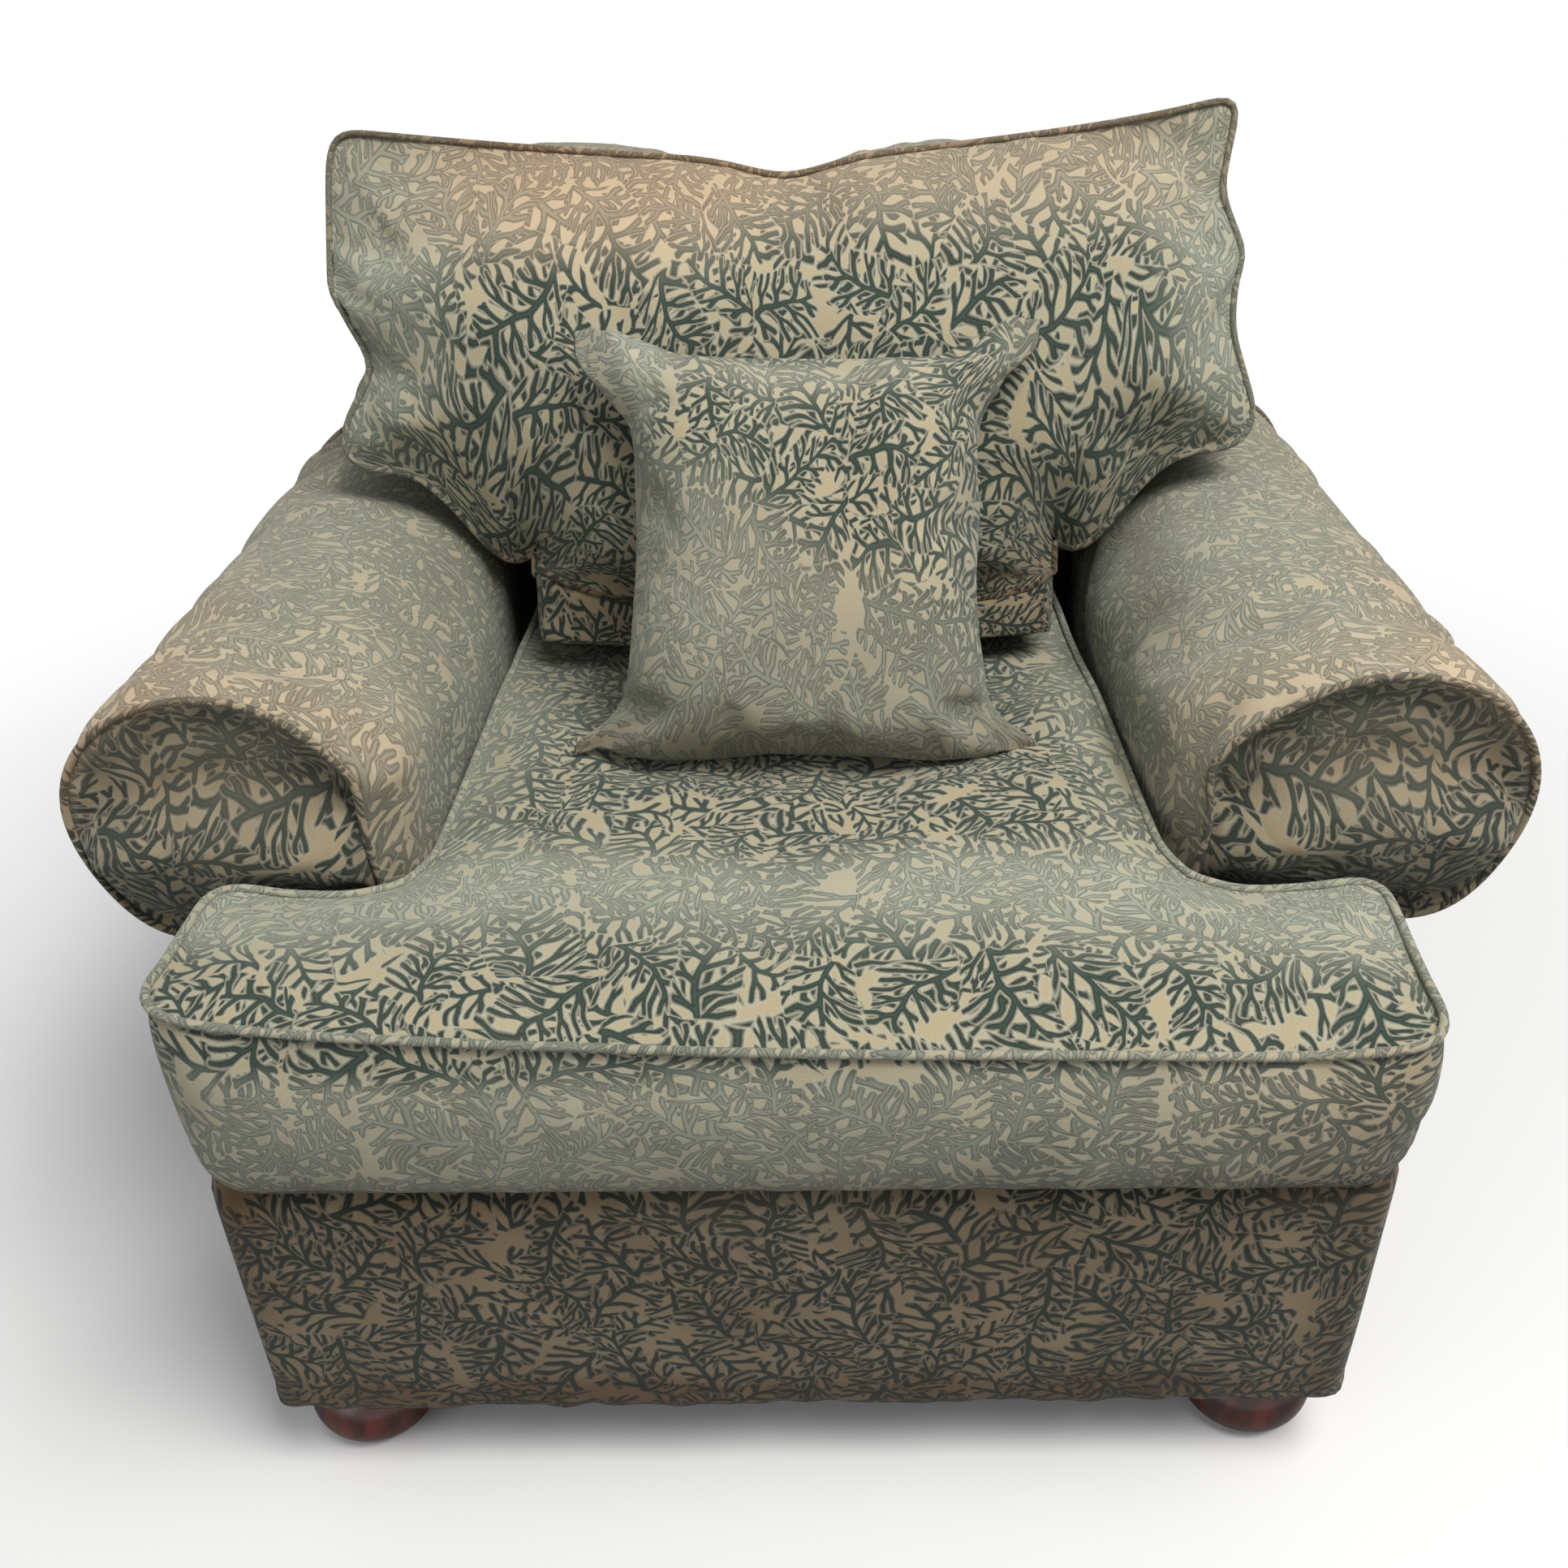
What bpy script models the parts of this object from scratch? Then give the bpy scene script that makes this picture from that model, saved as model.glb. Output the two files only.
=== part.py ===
"""A sagging old armchair: hardwood frame, zigzag springs, webbing, padded covers and three loose cushions.

Metres, +Z up, +Y towards the back, +X to the right of someone looking at the chair from the front.
The origin is on the floor, in the middle of the chair's width and depth.
"""

import math

import bmesh
import bpy
from mathutils import Vector
from mathutils.bvhtree import BVHTree

# Clearances
gap = 0.0003
soft_clearance = 0.006

# Base box
base_width = 0.87
base_front = -0.44
foot_height = 0.08
base_top = 0.335
border_thickness = 0.022
border_round = 0.012
border_belly = 0.004
side_cover = 0.010
back_cover = 0.010
dust_cloth = 0.0015
dust_cloth_edge = 0.004

# Timber
rail_thickness = 0.025
rail_height = 0.172
post_thickness = 0.030
block_size = 0.085
block_height = 0.050
timber_chamfer = 0.0015

# Back
back_low = 0.414
back_height = 0.800
rake = math.radians(5.6)
back_pad = 0.045
back_pad_fullness = 1.08
back_pad_full_level = 0.600
back_pad_low_rise = 0.020
back_roll_share = 0.8
back_roll_rise = 0.004
back_slat_height = 0.055
back_slat_level = 0.430
top_rail_height = 0.070
web_count = 4
web_spacing = 0.148
web_width = 0.050
cross_web_level = 0.670
web_thickness = 0.0018
web_end = 0.004

# Arms
arm_front = -0.244
arm_thickness = 0.149
arm_taper = 0.024
arm_wall = 0.060
arm_face = 0.016
roll_centre_in = 0.001
roll_centre_z = 0.536
roll_half_width = 0.116
roll_half_height = 0.104
roll_swell = 0.014
roll_spread = 0.4
roll_sag = 0.012
roll_fall = 0.032
board_depth = 0.018
arm_board_thickness = 0.025
arm_post_depth = 0.045
scroll_board_thickness = 0.018
arm_slat_level = 0.345
arm_slat_height = 0.050
panel_tuck = 0.004
face_inset = 0.014
face_sink = 0.005

# Feet
foot_radius = 0.056
foot_neck = 0.034
foot_collar = 0.041
foot_base_radius = 0.030
foot_inset = 0.050
foot_sides = 18
dowel_radius = 0.010
dowel_length = 0.038

# Springs and deck
spring_count = 5
spring_wire = 0.0019
spring_pitch = 0.047
spring_half_width = 0.024
spring_edge_gap = 0.008
deck_sag = 0.020

# Seat cushion
cushion_front = -0.456
cushion_thickness = 0.162
ear_overhang = 0.005
cushion_back = 0.250
cushion_crown = 0.030
cushion_dip = 0.012
cushion_tilt = 0.014
ear_back_gap = 0.044

# Back cushion
pillow_side_gap = 0.012
pillow_top_in = 0.017
pillow_height = 0.425
pillow_bottom_depth = 0.265
pillow_top_depth = 0.100
pillow_crown = 0.075
pillow_front_lift = 0.040
pillow_shoulder = 0.155
pillow_side_lift = 0.016
pillow_top_dip = 0.030
pillow_horn = 0.012

# How high loose cushions start above what they settle on
drop = 0.060

# Scatter cushion
scatter_width = 0.376
scatter_height = 0.350
scatter_loft = 0.060
scatter_lean = math.radians(34.0)
scatter_roll = math.radians(1.5)
scatter_pinch = 0.040
scatter_start = -0.060
scatter_shift = 0.010


def finish(name, colour, roughness, metallic=0.0):
    """A plain painted-on finish for one kind of piece."""
    made = bpy.data.materials.new(name)
    made.use_nodes = True
    shader = made.node_tree.nodes["Principled BSDF"]
    shader.inputs["Base Color"].default_value = (*colour, 1.0)
    shader.inputs["Roughness"].default_value = roughness
    shader.inputs["Metallic"].default_value = metallic
    return made


def clear_scene():
    for old in list(bpy.data.objects):
        bpy.data.objects.remove(old)


clear_scene()
chair = bpy.data.collections.new("armchair")
helpers = bpy.data.collections.new("armchair_cutters")
bpy.context.scene.collection.children.link(chair)
bpy.context.scene.collection.children.link(helpers)

cloth = finish("coral_cloth", (0.33, 0.37, 0.29), 0.9)
pale_cloth = finish("worn_cloth", (0.42, 0.42, 0.34), 0.9)
timber = finish("frame_timber", (0.55, 0.40, 0.24), 0.7)
mahogany = finish("foot_mahogany", (0.12, 0.03, 0.015), 0.3)
steel = finish("spring_steel", (0.35, 0.34, 0.32), 0.4, 1.0)
webbing = finish("elastic_webbing", (0.16, 0.13, 0.10), 0.85)
felt = finish("felt_pad", (0.50, 0.47, 0.40), 0.95)
black_cloth = finish("dust_cloth", (0.03, 0.03, 0.03), 0.95)

# Sizes worked out from the ones above
base_bottom = foot_height + 2 * gap + dust_cloth
half_base = base_width / 2
arm_inner = half_base - arm_thickness
arm_inner_back = arm_inner - arm_taper
roll_centre_x = half_base - roll_centre_in
cushion_ear_half = half_base + ear_overhang
pillow_bottom_half = arm_inner_back - pillow_side_gap
spring_reach = arm_inner_back - spring_edge_gap - spring_half_width
spring_spacing = 2 * spring_reach / (spring_count - 1)
pillow_top_half = half_base - pillow_top_in
rail_top = base_bottom + gap + rail_height
rail_outer = half_base - side_cover - gap
front_rail_front = base_front + border_thickness + gap
side_rail_front = front_rail_front + rail_thickness + gap
post_back = back_low - back_cover - gap
post_front = post_back - post_thickness
deck_bottom = rail_top + 2 * spring_wire + 2 * gap
ear_back = arm_front - ear_back_gap
border_lip = rail_thickness * 0.35
cushion_inner = arm_inner - soft_clearance
cushion_inner_back = arm_inner_back - soft_clearance
cavity_inner = arm_inner + arm_wall
cavity_outer = half_base + gap
cavity_top = roll_centre_z + board_depth
arm_board_top = cavity_top - gap
arm_back_end = post_front - gap
inside_reach = arm_inner_back - soft_clearance
arm_clear_top = roll_centre_z + roll_half_height + roll_swell - roll_fall
side_panel_top = roll_centre_z - roll_half_height + panel_tuck


def back_line(z):
    """How far the raked back leans away from its upright lower part at height z."""
    return max(0.0, z - base_top) * math.tan(rake)


def place(name, mesh, material, location=(0, 0, 0)):
    piece = bpy.data.objects.new(name, mesh)
    mesh.materials.clear()
    mesh.materials.append(material)
    piece.location = location
    chair.objects.link(piece)
    return piece


def mesh_from(name, bm):
    bmesh.ops.recalc_face_normals(bm, faces=bm.faces)
    mesh = bpy.data.meshes.new(name)
    bm.to_mesh(mesh)
    bm.free()
    return mesh


def block(name, low, high, material, chamfer=timber_chamfer):
    """A plank or block between two corners, with its origin in its middle and a small chamfer."""
    low, high = Vector(low), Vector(high)
    bm = bmesh.new()
    bmesh.ops.create_cube(bm, size=1.0)
    bmesh.ops.scale(bm, vec=high - low, verts=bm.verts)
    piece = place(name, mesh_from(name, bm), material, (low + high) / 2)
    if chamfer:
        bevel = piece.modifiers.new("chamfer", "BEVEL")
        bevel.width = chamfer
        bevel.segments = 1
    return piece


def outline_piece(name, points, x_low, x_high, material):
    """A flat outline in the side view, given as (y, z) points, with its thickness along X."""
    curve = bpy.data.curves.new(name, "CURVE")
    curve.dimensions = "2D"
    curve.fill_mode = "BOTH"
    curve.extrude = (x_high - x_low) / 2
    spline = curve.splines.new("POLY")
    spline.points.add(len(points) - 1)
    for spot, (y, z) in zip(spline.points, points):
        spot.co = (y, z, 0.0, 1.0)
    spline.use_cyclic_u = True
    curve.materials.append(material)
    piece = bpy.data.objects.new(name, curve)
    piece.rotation_euler = (math.radians(90), 0.0, math.radians(90))
    piece.location = ((x_low + x_high) / 2, 0.0, 0.0)
    chair.objects.link(piece)
    return piece


def solid_copy(piece):
    """Makes a curve a mesh, so that it can be cut, and keeps its name and place."""
    bpy.context.view_layer.update()
    graph = bpy.context.evaluated_depsgraph_get()
    mesh = bpy.data.meshes.new_from_object(piece.evaluated_get(graph))
    bm = bmesh.new()
    bm.from_mesh(mesh)
    bmesh.ops.remove_doubles(bm, verts=bm.verts, dist=0.00001)
    bm.to_mesh(mesh)
    bm.free()
    name, matrix = piece.name, piece.matrix_world.copy()
    material = piece.data.materials[0]
    bpy.data.objects.remove(piece)
    made = place(name, mesh, material)
    made.matrix_world = matrix
    return made


def cut(piece, cutter):
    """Takes the cutter's shape out of the piece."""
    for collection in list(cutter.users_collection):
        collection.objects.unlink(cutter)
    helpers.objects.link(cutter)
    cutter.hide_render = True
    cutter.display_type = "WIRE"
    boolean = piece.modifiers.new("cut", "BOOLEAN")
    boolean.operation = "DIFFERENCE"
    boolean.object = cutter


def round_cutter(name, radius, low, high, x, y, sides=foot_sides):
    bm = bmesh.new()
    bmesh.ops.create_cone(
        bm, cap_ends=True, segments=sides, radius1=radius, radius2=radius, depth=high - low
    )
    return place(name, mesh_from(name, bm), timber, (x, y, (low + high) / 2))


def soften(piece, levels=1):
    """Rounds a coarse cage into a soft form."""
    smooth = piece.modifiers.new("soft", "SUBSURF")
    smooth.levels = levels
    smooth.render_levels = levels
    return piece


def side_name(side):
    return "left" if side < 0 else "right"


# Feet

foot_x = rail_outer - foot_inset
front_foot_y = side_rail_front + foot_inset - rail_thickness
back_foot_y = post_front - foot_inset + rail_thickness


def foot_profile():
    """The turned bun foot from the dowel's tip down to the floor, as (radius, height)."""
    bun_low, bun_high = 0.0, foot_height - 0.018
    middle = (bun_low + bun_high) / 2 - 0.002
    half = (bun_high - bun_low) / 2 + 0.001
    points = [
        (0.0, foot_height + dowel_length),
        (dowel_radius, foot_height + dowel_length),
        (dowel_radius, foot_height),
        (foot_collar, foot_height),
        (foot_collar + 0.001, foot_height - 0.005),
        (foot_collar - 0.003, foot_height - 0.010),
        (foot_neck, foot_height - 0.013),
    ]
    steps = 7
    start, end = math.radians(52), math.radians(-58)
    for k in range(steps + 1):
        angle = start + (end - start) * k / steps
        points.append((foot_radius * math.cos(angle) ** 0.55, middle + half * math.sin(angle)))
    points += [(foot_base_radius, 0.0), (0.0, 0.0)]
    return points


def turned(name, profile, material, steps, x, y):
    """A profile carried round a vertical axis, from its top down its outer side."""
    mesh = bpy.data.meshes.new(name)
    points = [(radius, 0.0, height) for radius, height in profile]
    mesh.from_pydata(points, [(k, k + 1) for k in range(len(points) - 1)], [])
    piece = place(name, mesh, material, (x, y, 0.0))
    screw = piece.modifiers.new("turning", "SCREW")
    screw.steps = steps
    screw.render_steps = steps
    screw.use_merge_vertices = True
    screw.merge_threshold = 0.0001
    return piece


def make_feet_and_blocks():
    for y, row in ((front_foot_y, "front"), (back_foot_y, "back")):
        for side in (-1, 1):
            place_name = f"{row}_{side_name(side)}"
            x = side * foot_x
            turned(f"bun_foot_{place_name}", foot_profile(), mahogany, foot_sides, x, y)
            inner = -1 if row == "back" else 1
            y_wall = side_rail_front if row == "front" else post_front - gap
            x_wall = side * (rail_outer - rail_thickness - gap)
            low = (min(x_wall, x_wall - side * block_size), min(y_wall, y_wall + inner * block_size))
            high = (max(x_wall, x_wall - side * block_size), max(y_wall, y_wall + inner * block_size))
            glue_block = block(
                f"corner_block_{place_name}",
                (*low, base_bottom + gap),
                (*high, base_bottom + gap + block_height),
                timber,
            )
            bore = round_cutter(
                f"bore_{place_name}", dowel_radius + gap, foot_height - 0.01,
                foot_height + dowel_length + 0.002, x, y,
            )
            cut(glue_block, bore)


# Base frame

def make_rails():
    low = base_bottom + gap
    block("front_rail", (-rail_outer, front_rail_front, low),
          (rail_outer, front_rail_front + rail_thickness, rail_top), timber)
    for side in (-1, 1):
        inner, outer = side * (rail_outer - rail_thickness), side * rail_outer
        block(f"side_rail_{side_name(side)}",
              (min(inner, outer), side_rail_front, low),
              (max(inner, outer), post_front - gap, rail_top), timber)
    post_inner = rail_outer - post_thickness - gap
    block("back_rail", (-post_inner, post_back - rail_thickness, low),
          (post_inner, post_back, rail_top), timber)


def make_back_frame():
    """Two posts that stand upright in the base and rake above it, with a top rail and a slat between them."""
    top = back_height
    for side in (-1, 1):
        inner, outer = side * (rail_outer - post_thickness), side * rail_outer
        points = [
            (post_front, base_bottom + gap),
            (post_back, base_bottom + gap),
            (post_back, base_top),
            (post_back + back_line(top), top),
            (post_front + back_line(top), top),
            (post_front, base_top),
        ]
        outline_piece(f"back_post_{side_name(side)}", points, min(inner, outer), max(inner, outer), timber)
    between = rail_outer - post_thickness - gap
    for name, low, height in (
        ("back_top_rail", top - top_rail_height, top_rail_height),
        ("back_slat", back_slat_level, back_slat_height),
    ):
        high = low + height
        points = [
            (post_front + back_line(low), low),
            (post_front + back_line(low) + rail_thickness, low),
            (post_front + back_line(high) + rail_thickness, high),
            (post_front + back_line(high), high),
        ]
        outline_piece(name, points, -between, between, timber)


def make_back_webbing():
    """Upright elastic strips on the front of the slat and the top rail, crossed by one level strip."""
    low, high = back_slat_level + web_end, back_height - web_end
    for number in range(1, web_count + 1):
        x = (number - (web_count + 1) / 2) * web_spacing
        front = post_front - gap
        points = [
            (front + back_line(low) - web_thickness, low),
            (front + back_line(low), low),
            (front + back_line(high), high),
            (front + back_line(high) - web_thickness, high),
        ]
        outline_piece(f"back_web_{number}", points, x - web_width / 2, x + web_width / 2, webbing)
    low = cross_web_level
    high = low + web_width
    front = post_front - 2 * gap - web_thickness
    points = [
        (front + back_line(low) - web_thickness, low),
        (front + back_line(low), low),
        (front + back_line(high), high),
        (front + back_line(high) - web_thickness, high),
    ]
    reach = rail_outer - web_end
    outline_piece("back_cross_web", points, -reach, reach, webbing)


# Arms

def make_arm_frame(side):
    name = side_name(side)
    board_inner, board_outer = cavity_inner + gap, cavity_outer - side_cover - 2 * gap
    front = arm_front + arm_face + gap
    scroll_back = front + scroll_board_thickness

    def span(inner, outer):
        return min(side * inner, side * outer), max(side * inner, side * outer)

    low_x, high_x = span(board_inner, board_outer)
    block(f"arm_scroll_board_{name}", (low_x, front, rail_top + gap),
          (high_x, scroll_back, arm_board_top - arm_board_thickness - gap), timber)
    block(f"arm_board_{name}", (low_x, front, arm_board_top - arm_board_thickness),
          (high_x, arm_back_end + back_line(arm_board_top - arm_board_thickness), arm_board_top), timber)
    post_x = span(rail_outer - rail_thickness, rail_outer)
    block(f"arm_post_{name}", (post_x[0], scroll_back + gap, rail_top + gap),
          (post_x[1], scroll_back + gap + arm_post_depth, arm_board_top - arm_board_thickness - gap), timber)
    slat_x = span(board_inner, board_inner + rail_thickness)
    block(f"arm_slat_{name}", (slat_x[0], scroll_back + gap, arm_slat_level),
          (slat_x[1], arm_back_end + back_line(arm_slat_level), arm_slat_level + arm_slat_height), timber)


def arm_inner_at(y):
    """Half the distance between the two inner arm walls at depth y."""
    share = min(1.0, (y - arm_front) / (arm_back_end - arm_front))
    return arm_inner + (arm_inner_back - arm_inner) * share


def arm_section(angle, share):
    """A point of the roll's outline, as (distance out from the chair's middle, height).

    Angle 0 points outwards and turns over the top. The roll swells and sinks between its ends,
    and falls towards the back.
    """
    swell = roll_swell * math.sin(math.pi * min(1.0, share * 1.15)) ** 0.8
    sag = roll_sag * math.sin(math.pi * share) ** 2 + roll_fall * share
    x = roll_centre_x + (roll_half_width + roll_spread * swell) * math.cos(angle)
    z = roll_centre_z - sag + (roll_half_height + roll_spread * swell) * math.sin(angle)
    if math.cos(angle) < 0:
        x -= swell * 1.2
    return x, z


def make_arm_pad(side):
    """The stuffed roll with the inner wall and the front face in one, hollow over the timber."""
    name = side_name(side)
    around, along, wall_steps = 30, 9, 4
    bottom = rail_top + gap
    roll_points = around - 2 * wall_steps
    start, end = math.radians(-86), math.radians(184)
    roll_low = roll_centre_z - roll_half_height
    wall_top = roll_centre_z - 0.3 * roll_half_height
    length = back_low - arm_front

    def outline(step, share):
        """A point of the section at a share of the arm's length: outer wall, roll, inner wall."""
        if step < wall_steps:
            x, z = half_base, bottom + (roll_low + 0.006 - roll_fall * share - bottom) * step / wall_steps
        elif step < wall_steps + roll_points:
            part = (step - wall_steps) / (roll_points - 1)
            x, z = arm_section(start + (end - start) * part, share)
        else:
            fall = (step - wall_steps - roll_points + 1) / wall_steps
            x = arm_inner_at(arm_front + length * share)
            z = wall_top - roll_fall * share
            z += (bottom - z) * fall
        y = arm_front + length * share + share ** 4 * (z - base_top) * math.tan(rake)
        return x, y, z

    bm = bmesh.new()
    bmesh.ops.create_grid(bm, x_segments=around - 1, y_segments=along, size=1.0)
    front_ring, back_ring = set(), set()
    for vertex in bm.verts:
        step = round((vertex.co.x + 1) / 2 * (around - 1))
        share = round((vertex.co.y + 1) / 2 * along) / along
        if share == 0.0:
            front_ring.add(vertex)
        if share == 1.0:
            back_ring.add(vertex)
        x, y, z = outline(step, share)
        vertex.co = (side * x, y, z)
    front_rim = []
    for ring in (front_ring, back_ring):
        rim = [edge for edge in bm.edges if edge.verts[0] in ring and edge.verts[1] in ring]
        ends = [v for v in ring if sum(edge in rim for edge in v.link_edges) == 1]
        rim.append(bm.edges.new(ends))
        cap = bmesh.ops.contextual_create(bm, geom=rim)["faces"]
        if ring is front_ring:
            front_rim = cap
    open_edges = [edge for edge in bm.edges if len(edge.link_faces) == 1]
    bmesh.ops.contextual_create(bm, geom=open_edges)
    bmesh.ops.recalc_face_normals(bm, faces=bm.faces)
    bmesh.ops.inset_region(bm, faces=front_rim, thickness=face_inset, depth=-face_sink)
    piece = place(f"arm_pad_{name}", mesh_from(f"arm_pad_{name}", bm), cloth)
    low_x, high_x = sorted((side * cavity_inner, side * cavity_outer))
    cut(piece, block(f"arm_hollow_{name}", (low_x, arm_front + arm_face, bottom - 0.05),
                     (high_x, back_low + 0.1, cavity_top), timber, chamfer=0.0))
    panel_low, panel_high = sorted((side * (half_base - side_cover - gap), side * cavity_outer))
    cut(piece, block(f"panel_slot_{name}", (panel_low, arm_front - 0.05, bottom - 0.05),
                     (panel_high, back_low + 0.1, side_panel_top + gap), timber, chamfer=0.0))
    low_x, high_x = sorted((side * 0.1, side * cavity_outer))
    cut(piece, raked_prism(f"back_space_{name}", arm_back_end, back_low + 0.1, 0.1, 0.9, low_x, high_x))
    return piece


def make_outside_arm(side):
    """The padded outer panel, from the bottom edge up to the underside of the roll."""
    inner, outer = sorted((side * (half_base - side_cover), side * half_base))
    high = side_panel_top
    lip_back = front_rail_front + border_lip + gap
    points = [
        (front_rail_front, base_bottom + gap),
        (post_back, base_bottom + gap),
        (post_back, base_top),
        (post_back + back_line(high), high),
        (arm_front, high),
        (arm_front, base_top),
        (lip_back, base_top),
        (lip_back, rail_top),
        (front_rail_front, rail_top),
    ]
    return outline_piece(f"outside_arm_{side_name(side)}", points, inner, outer, cloth)


# Covers of the base and the back

def make_front_border():
    """The padded front panel, bellied forwards, with a soft lip over the front rail."""
    back = front_rail_front - gap
    low, high = base_bottom + gap, base_top
    lip_back = front_rail_front + border_lip
    front = base_front
    points = [(back, low), (front + border_round / 2, low), (front, low + border_round)]
    steps = 6
    for k in range(1, steps):
        share = k / steps
        rise = border_round + (high - low - 2.5 * border_round) * share
        points.append((front - border_belly * math.sin(math.pi * share), low + rise))
    points += [
        (front, high - 1.5 * border_round),
        (front + border_round / 2, high - border_round / 2),
        (front + 1.5 * border_round, high),
        (lip_back, high),
        (lip_back, rail_top + gap),
        (back, rail_top + gap),
    ]
    return outline_piece("front_border", points, -half_base, half_base, cloth)


def make_outside_back():
    low, high = base_bottom + gap, back_height
    points = [
        (back_low - back_cover, low),
        (back_low, low),
        (back_low, base_top),
        (back_low + back_line(high), high),
        (back_low + back_line(high) - back_cover, high),
        (back_low - back_cover, base_top),
    ]
    return outline_piece("outside_back", points, -half_base, half_base, cloth)


def raked_prism(name, start, end, low, high, x_low, x_high):
    """A block whose front and back follow the raked back, from depth start to depth end below the rake."""
    points = [(start, low), (end, low), (end + back_line(high), high), (start + back_line(high), high)]
    if low < base_top:
        points.insert(2, (end, base_top))
        points.append((start, base_top))
    return solid_copy(outline_piece(name, points, x_low, x_high, timber))


def make_inside_back():
    """The padded back: narrow between the arms, full width above them, wrapped over posts and top rail."""
    low, high = base_top + back_pad_low_rise, back_height + gap
    front = post_front - 3 * gap - 2 * web_thickness
    rear = back_low - back_cover - gap
    half_depth = (rear + back_cover + gap - front + back_pad) / 2
    middle = rear + back_cover + gap - half_depth + back_line(high)
    points = [(rear, low), (rear + back_line(high), high), (rear + back_cover + gap + back_line(high), high)]
    steps = 8
    for k in range(steps + 1):
        angle = math.pi * k / steps
        points.append((
            middle + half_depth * math.cos(angle),
            high + back_roll_rise + back_roll_share * half_depth * math.sin(angle),
        ))
    fullest = back_pad_full_level
    points.append((front - back_pad * back_pad_fullness + back_line(fullest), fullest))
    points.append((front - back_pad + back_line(low), low))
    piece = solid_copy(outline_piece("inside_back", points, -half_base, half_base, cloth))
    frame_half = rail_outer + gap
    hollow = raked_prism("back_hollow", front, rear + 0.1, base_bottom, high, -frame_half, frame_half)
    cut(piece, hollow)
    for side in (-1, 1):
        low_x, high_x = sorted((side * inside_reach, side * (half_base + 0.05)))
        space = raked_prism(
            f"arm_space_{side_name(side)}", front - 0.2, post_front, low - 0.1, arm_clear_top, low_x, high_x
        )
        cut(piece, space)
        below = raked_prism(
            f"panel_space_{side_name(side)}", front - 0.2, rear + 0.1, low - 0.1, side_panel_top + gap,
            *sorted((side * (frame_half - 0.01), side * (half_base + 0.05))),
        )
        cut(piece, below)
    return piece


def make_dust_cloth():
    """Thin black cloth under the frame, pierced for the four dowels."""
    low = foot_height + gap
    edge = dust_cloth_edge
    piece = block("dust_cloth", (-half_base + edge, base_front + border_round, low),
                  (half_base - edge, back_low - edge, low + dust_cloth), black_cloth, chamfer=0.0)
    for y in (front_foot_y, back_foot_y):
        for side in (-1, 1):
            cut(piece, round_cutter(f"pierce_{side}_{y:.2f}", dowel_radius + gap, low - 0.01,
                                    low + 0.01, side * foot_x, y))
    return piece


# Springs, deck and cushions

def dip(x, y):
    """How deep a spring has sunk at a point of the plan: nothing over the rails."""
    across = max(0.0, 1 - (x / arm_inner) ** 2)
    front, back = front_rail_front + rail_thickness, post_back - rail_thickness
    middle = (front + back) / 2
    reach = (back - front) / 2
    along = max(0.0, 1 - ((y - middle) / reach) ** 2)
    return deck_sag * across * along ** 2


def make_spring(number):
    """One zigzag wire from the front rail's top to the back rail's top."""
    x = (number - (spring_count + 1) / 2) * spring_spacing
    start = front_rail_front + rail_thickness - 0.008
    end = post_back - rail_thickness + 0.008
    turns = round((end - start) / spring_pitch)
    pitch = (end - start) / turns
    points = [(x, start)]
    for turn in range(turns):
        side = 1 if turn % 2 else -1
        middle = start + pitch * (turn + 0.5)
        points.append((x + side * spring_half_width * 0.78, middle - pitch * 0.36))
        points.append((x + side * spring_half_width, middle))
        points.append((x + side * spring_half_width * 0.78, middle + pitch * 0.36))
    points.append((x, end))
    curve = bpy.data.curves.new(f"seat_spring_{number}", "CURVE")
    curve.dimensions = "3D"
    curve.bevel_depth = spring_wire
    curve.bevel_resolution = 1
    curve.use_fill_caps = True
    spline = curve.splines.new("POLY")
    spline.points.add(len(points) - 1)
    for spot, (px, py) in zip(spline.points, points):
        level = rail_top + gap + spring_wire * 1.02 - dip(px, py)
        spot.co = (px, py, level, 1.0)
    curve.materials.append(steel)
    piece = bpy.data.objects.new(curve.name, curve)
    chair.objects.link(piece)
    return piece


def plan_columns(inner, ear):
    """Nine columns of the T-shaped plan, from the left ear to the right one."""
    middle = (inner + ear) / 2
    return [-ear, -middle, -inner, -inner / 2, 0.0, inner / 2, inner, middle, ear]


def t_plan(rows, notch_row):
    """A flat T-shaped grid, nine columns wide, as a bmesh with its columns and rows kept in layers.

    The ears fill the rows before notch_row. Positions come later, from each point's column and row.
    """
    bm = bmesh.new()
    bmesh.ops.create_grid(bm, x_segments=8, y_segments=rows - 1, size=1.0)
    column = bm.verts.layers.int.new("column")
    row = bm.verts.layers.int.new("row")
    for vertex in bm.verts:
        vertex[column] = round((vertex.co.x + 1) * 4)
        vertex[row] = round((vertex.co.y + 1) / 2 * (rows - 1))
    outside = []
    for face in bm.faces:
        middle_column = sum(v[column] for v in face.verts) / 4
        middle_row = sum(v[row] for v in face.verts) / 4
        if middle_row > notch_row and not 2 < middle_column < 6:
            outside.append(face)
    bmesh.ops.delete(bm, geom=outside, context="FACES")
    return bm, column, row


def thicken(bm, layers):
    """Carries the flat plan up in a number of layers, and marks each point's layer from 0 to layers."""
    level = bm.verts.layers.int.new("level")
    top = list(bm.faces)
    for number in range(1, layers + 1):
        edges = {edge for face in top for edge in face.edges}
        verts = {vertex for face in top for vertex in face.verts}
        made = bmesh.ops.extrude_face_region(
            bm, geom=[*top, *edges, *verts], use_keep_orig=(number == 1)
        )
        top = [item for item in made["geom"] if isinstance(item, bmesh.types.BMFace)]
        for face in top:
            for vertex in face.verts:
                vertex[level] = number
    return level


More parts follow.
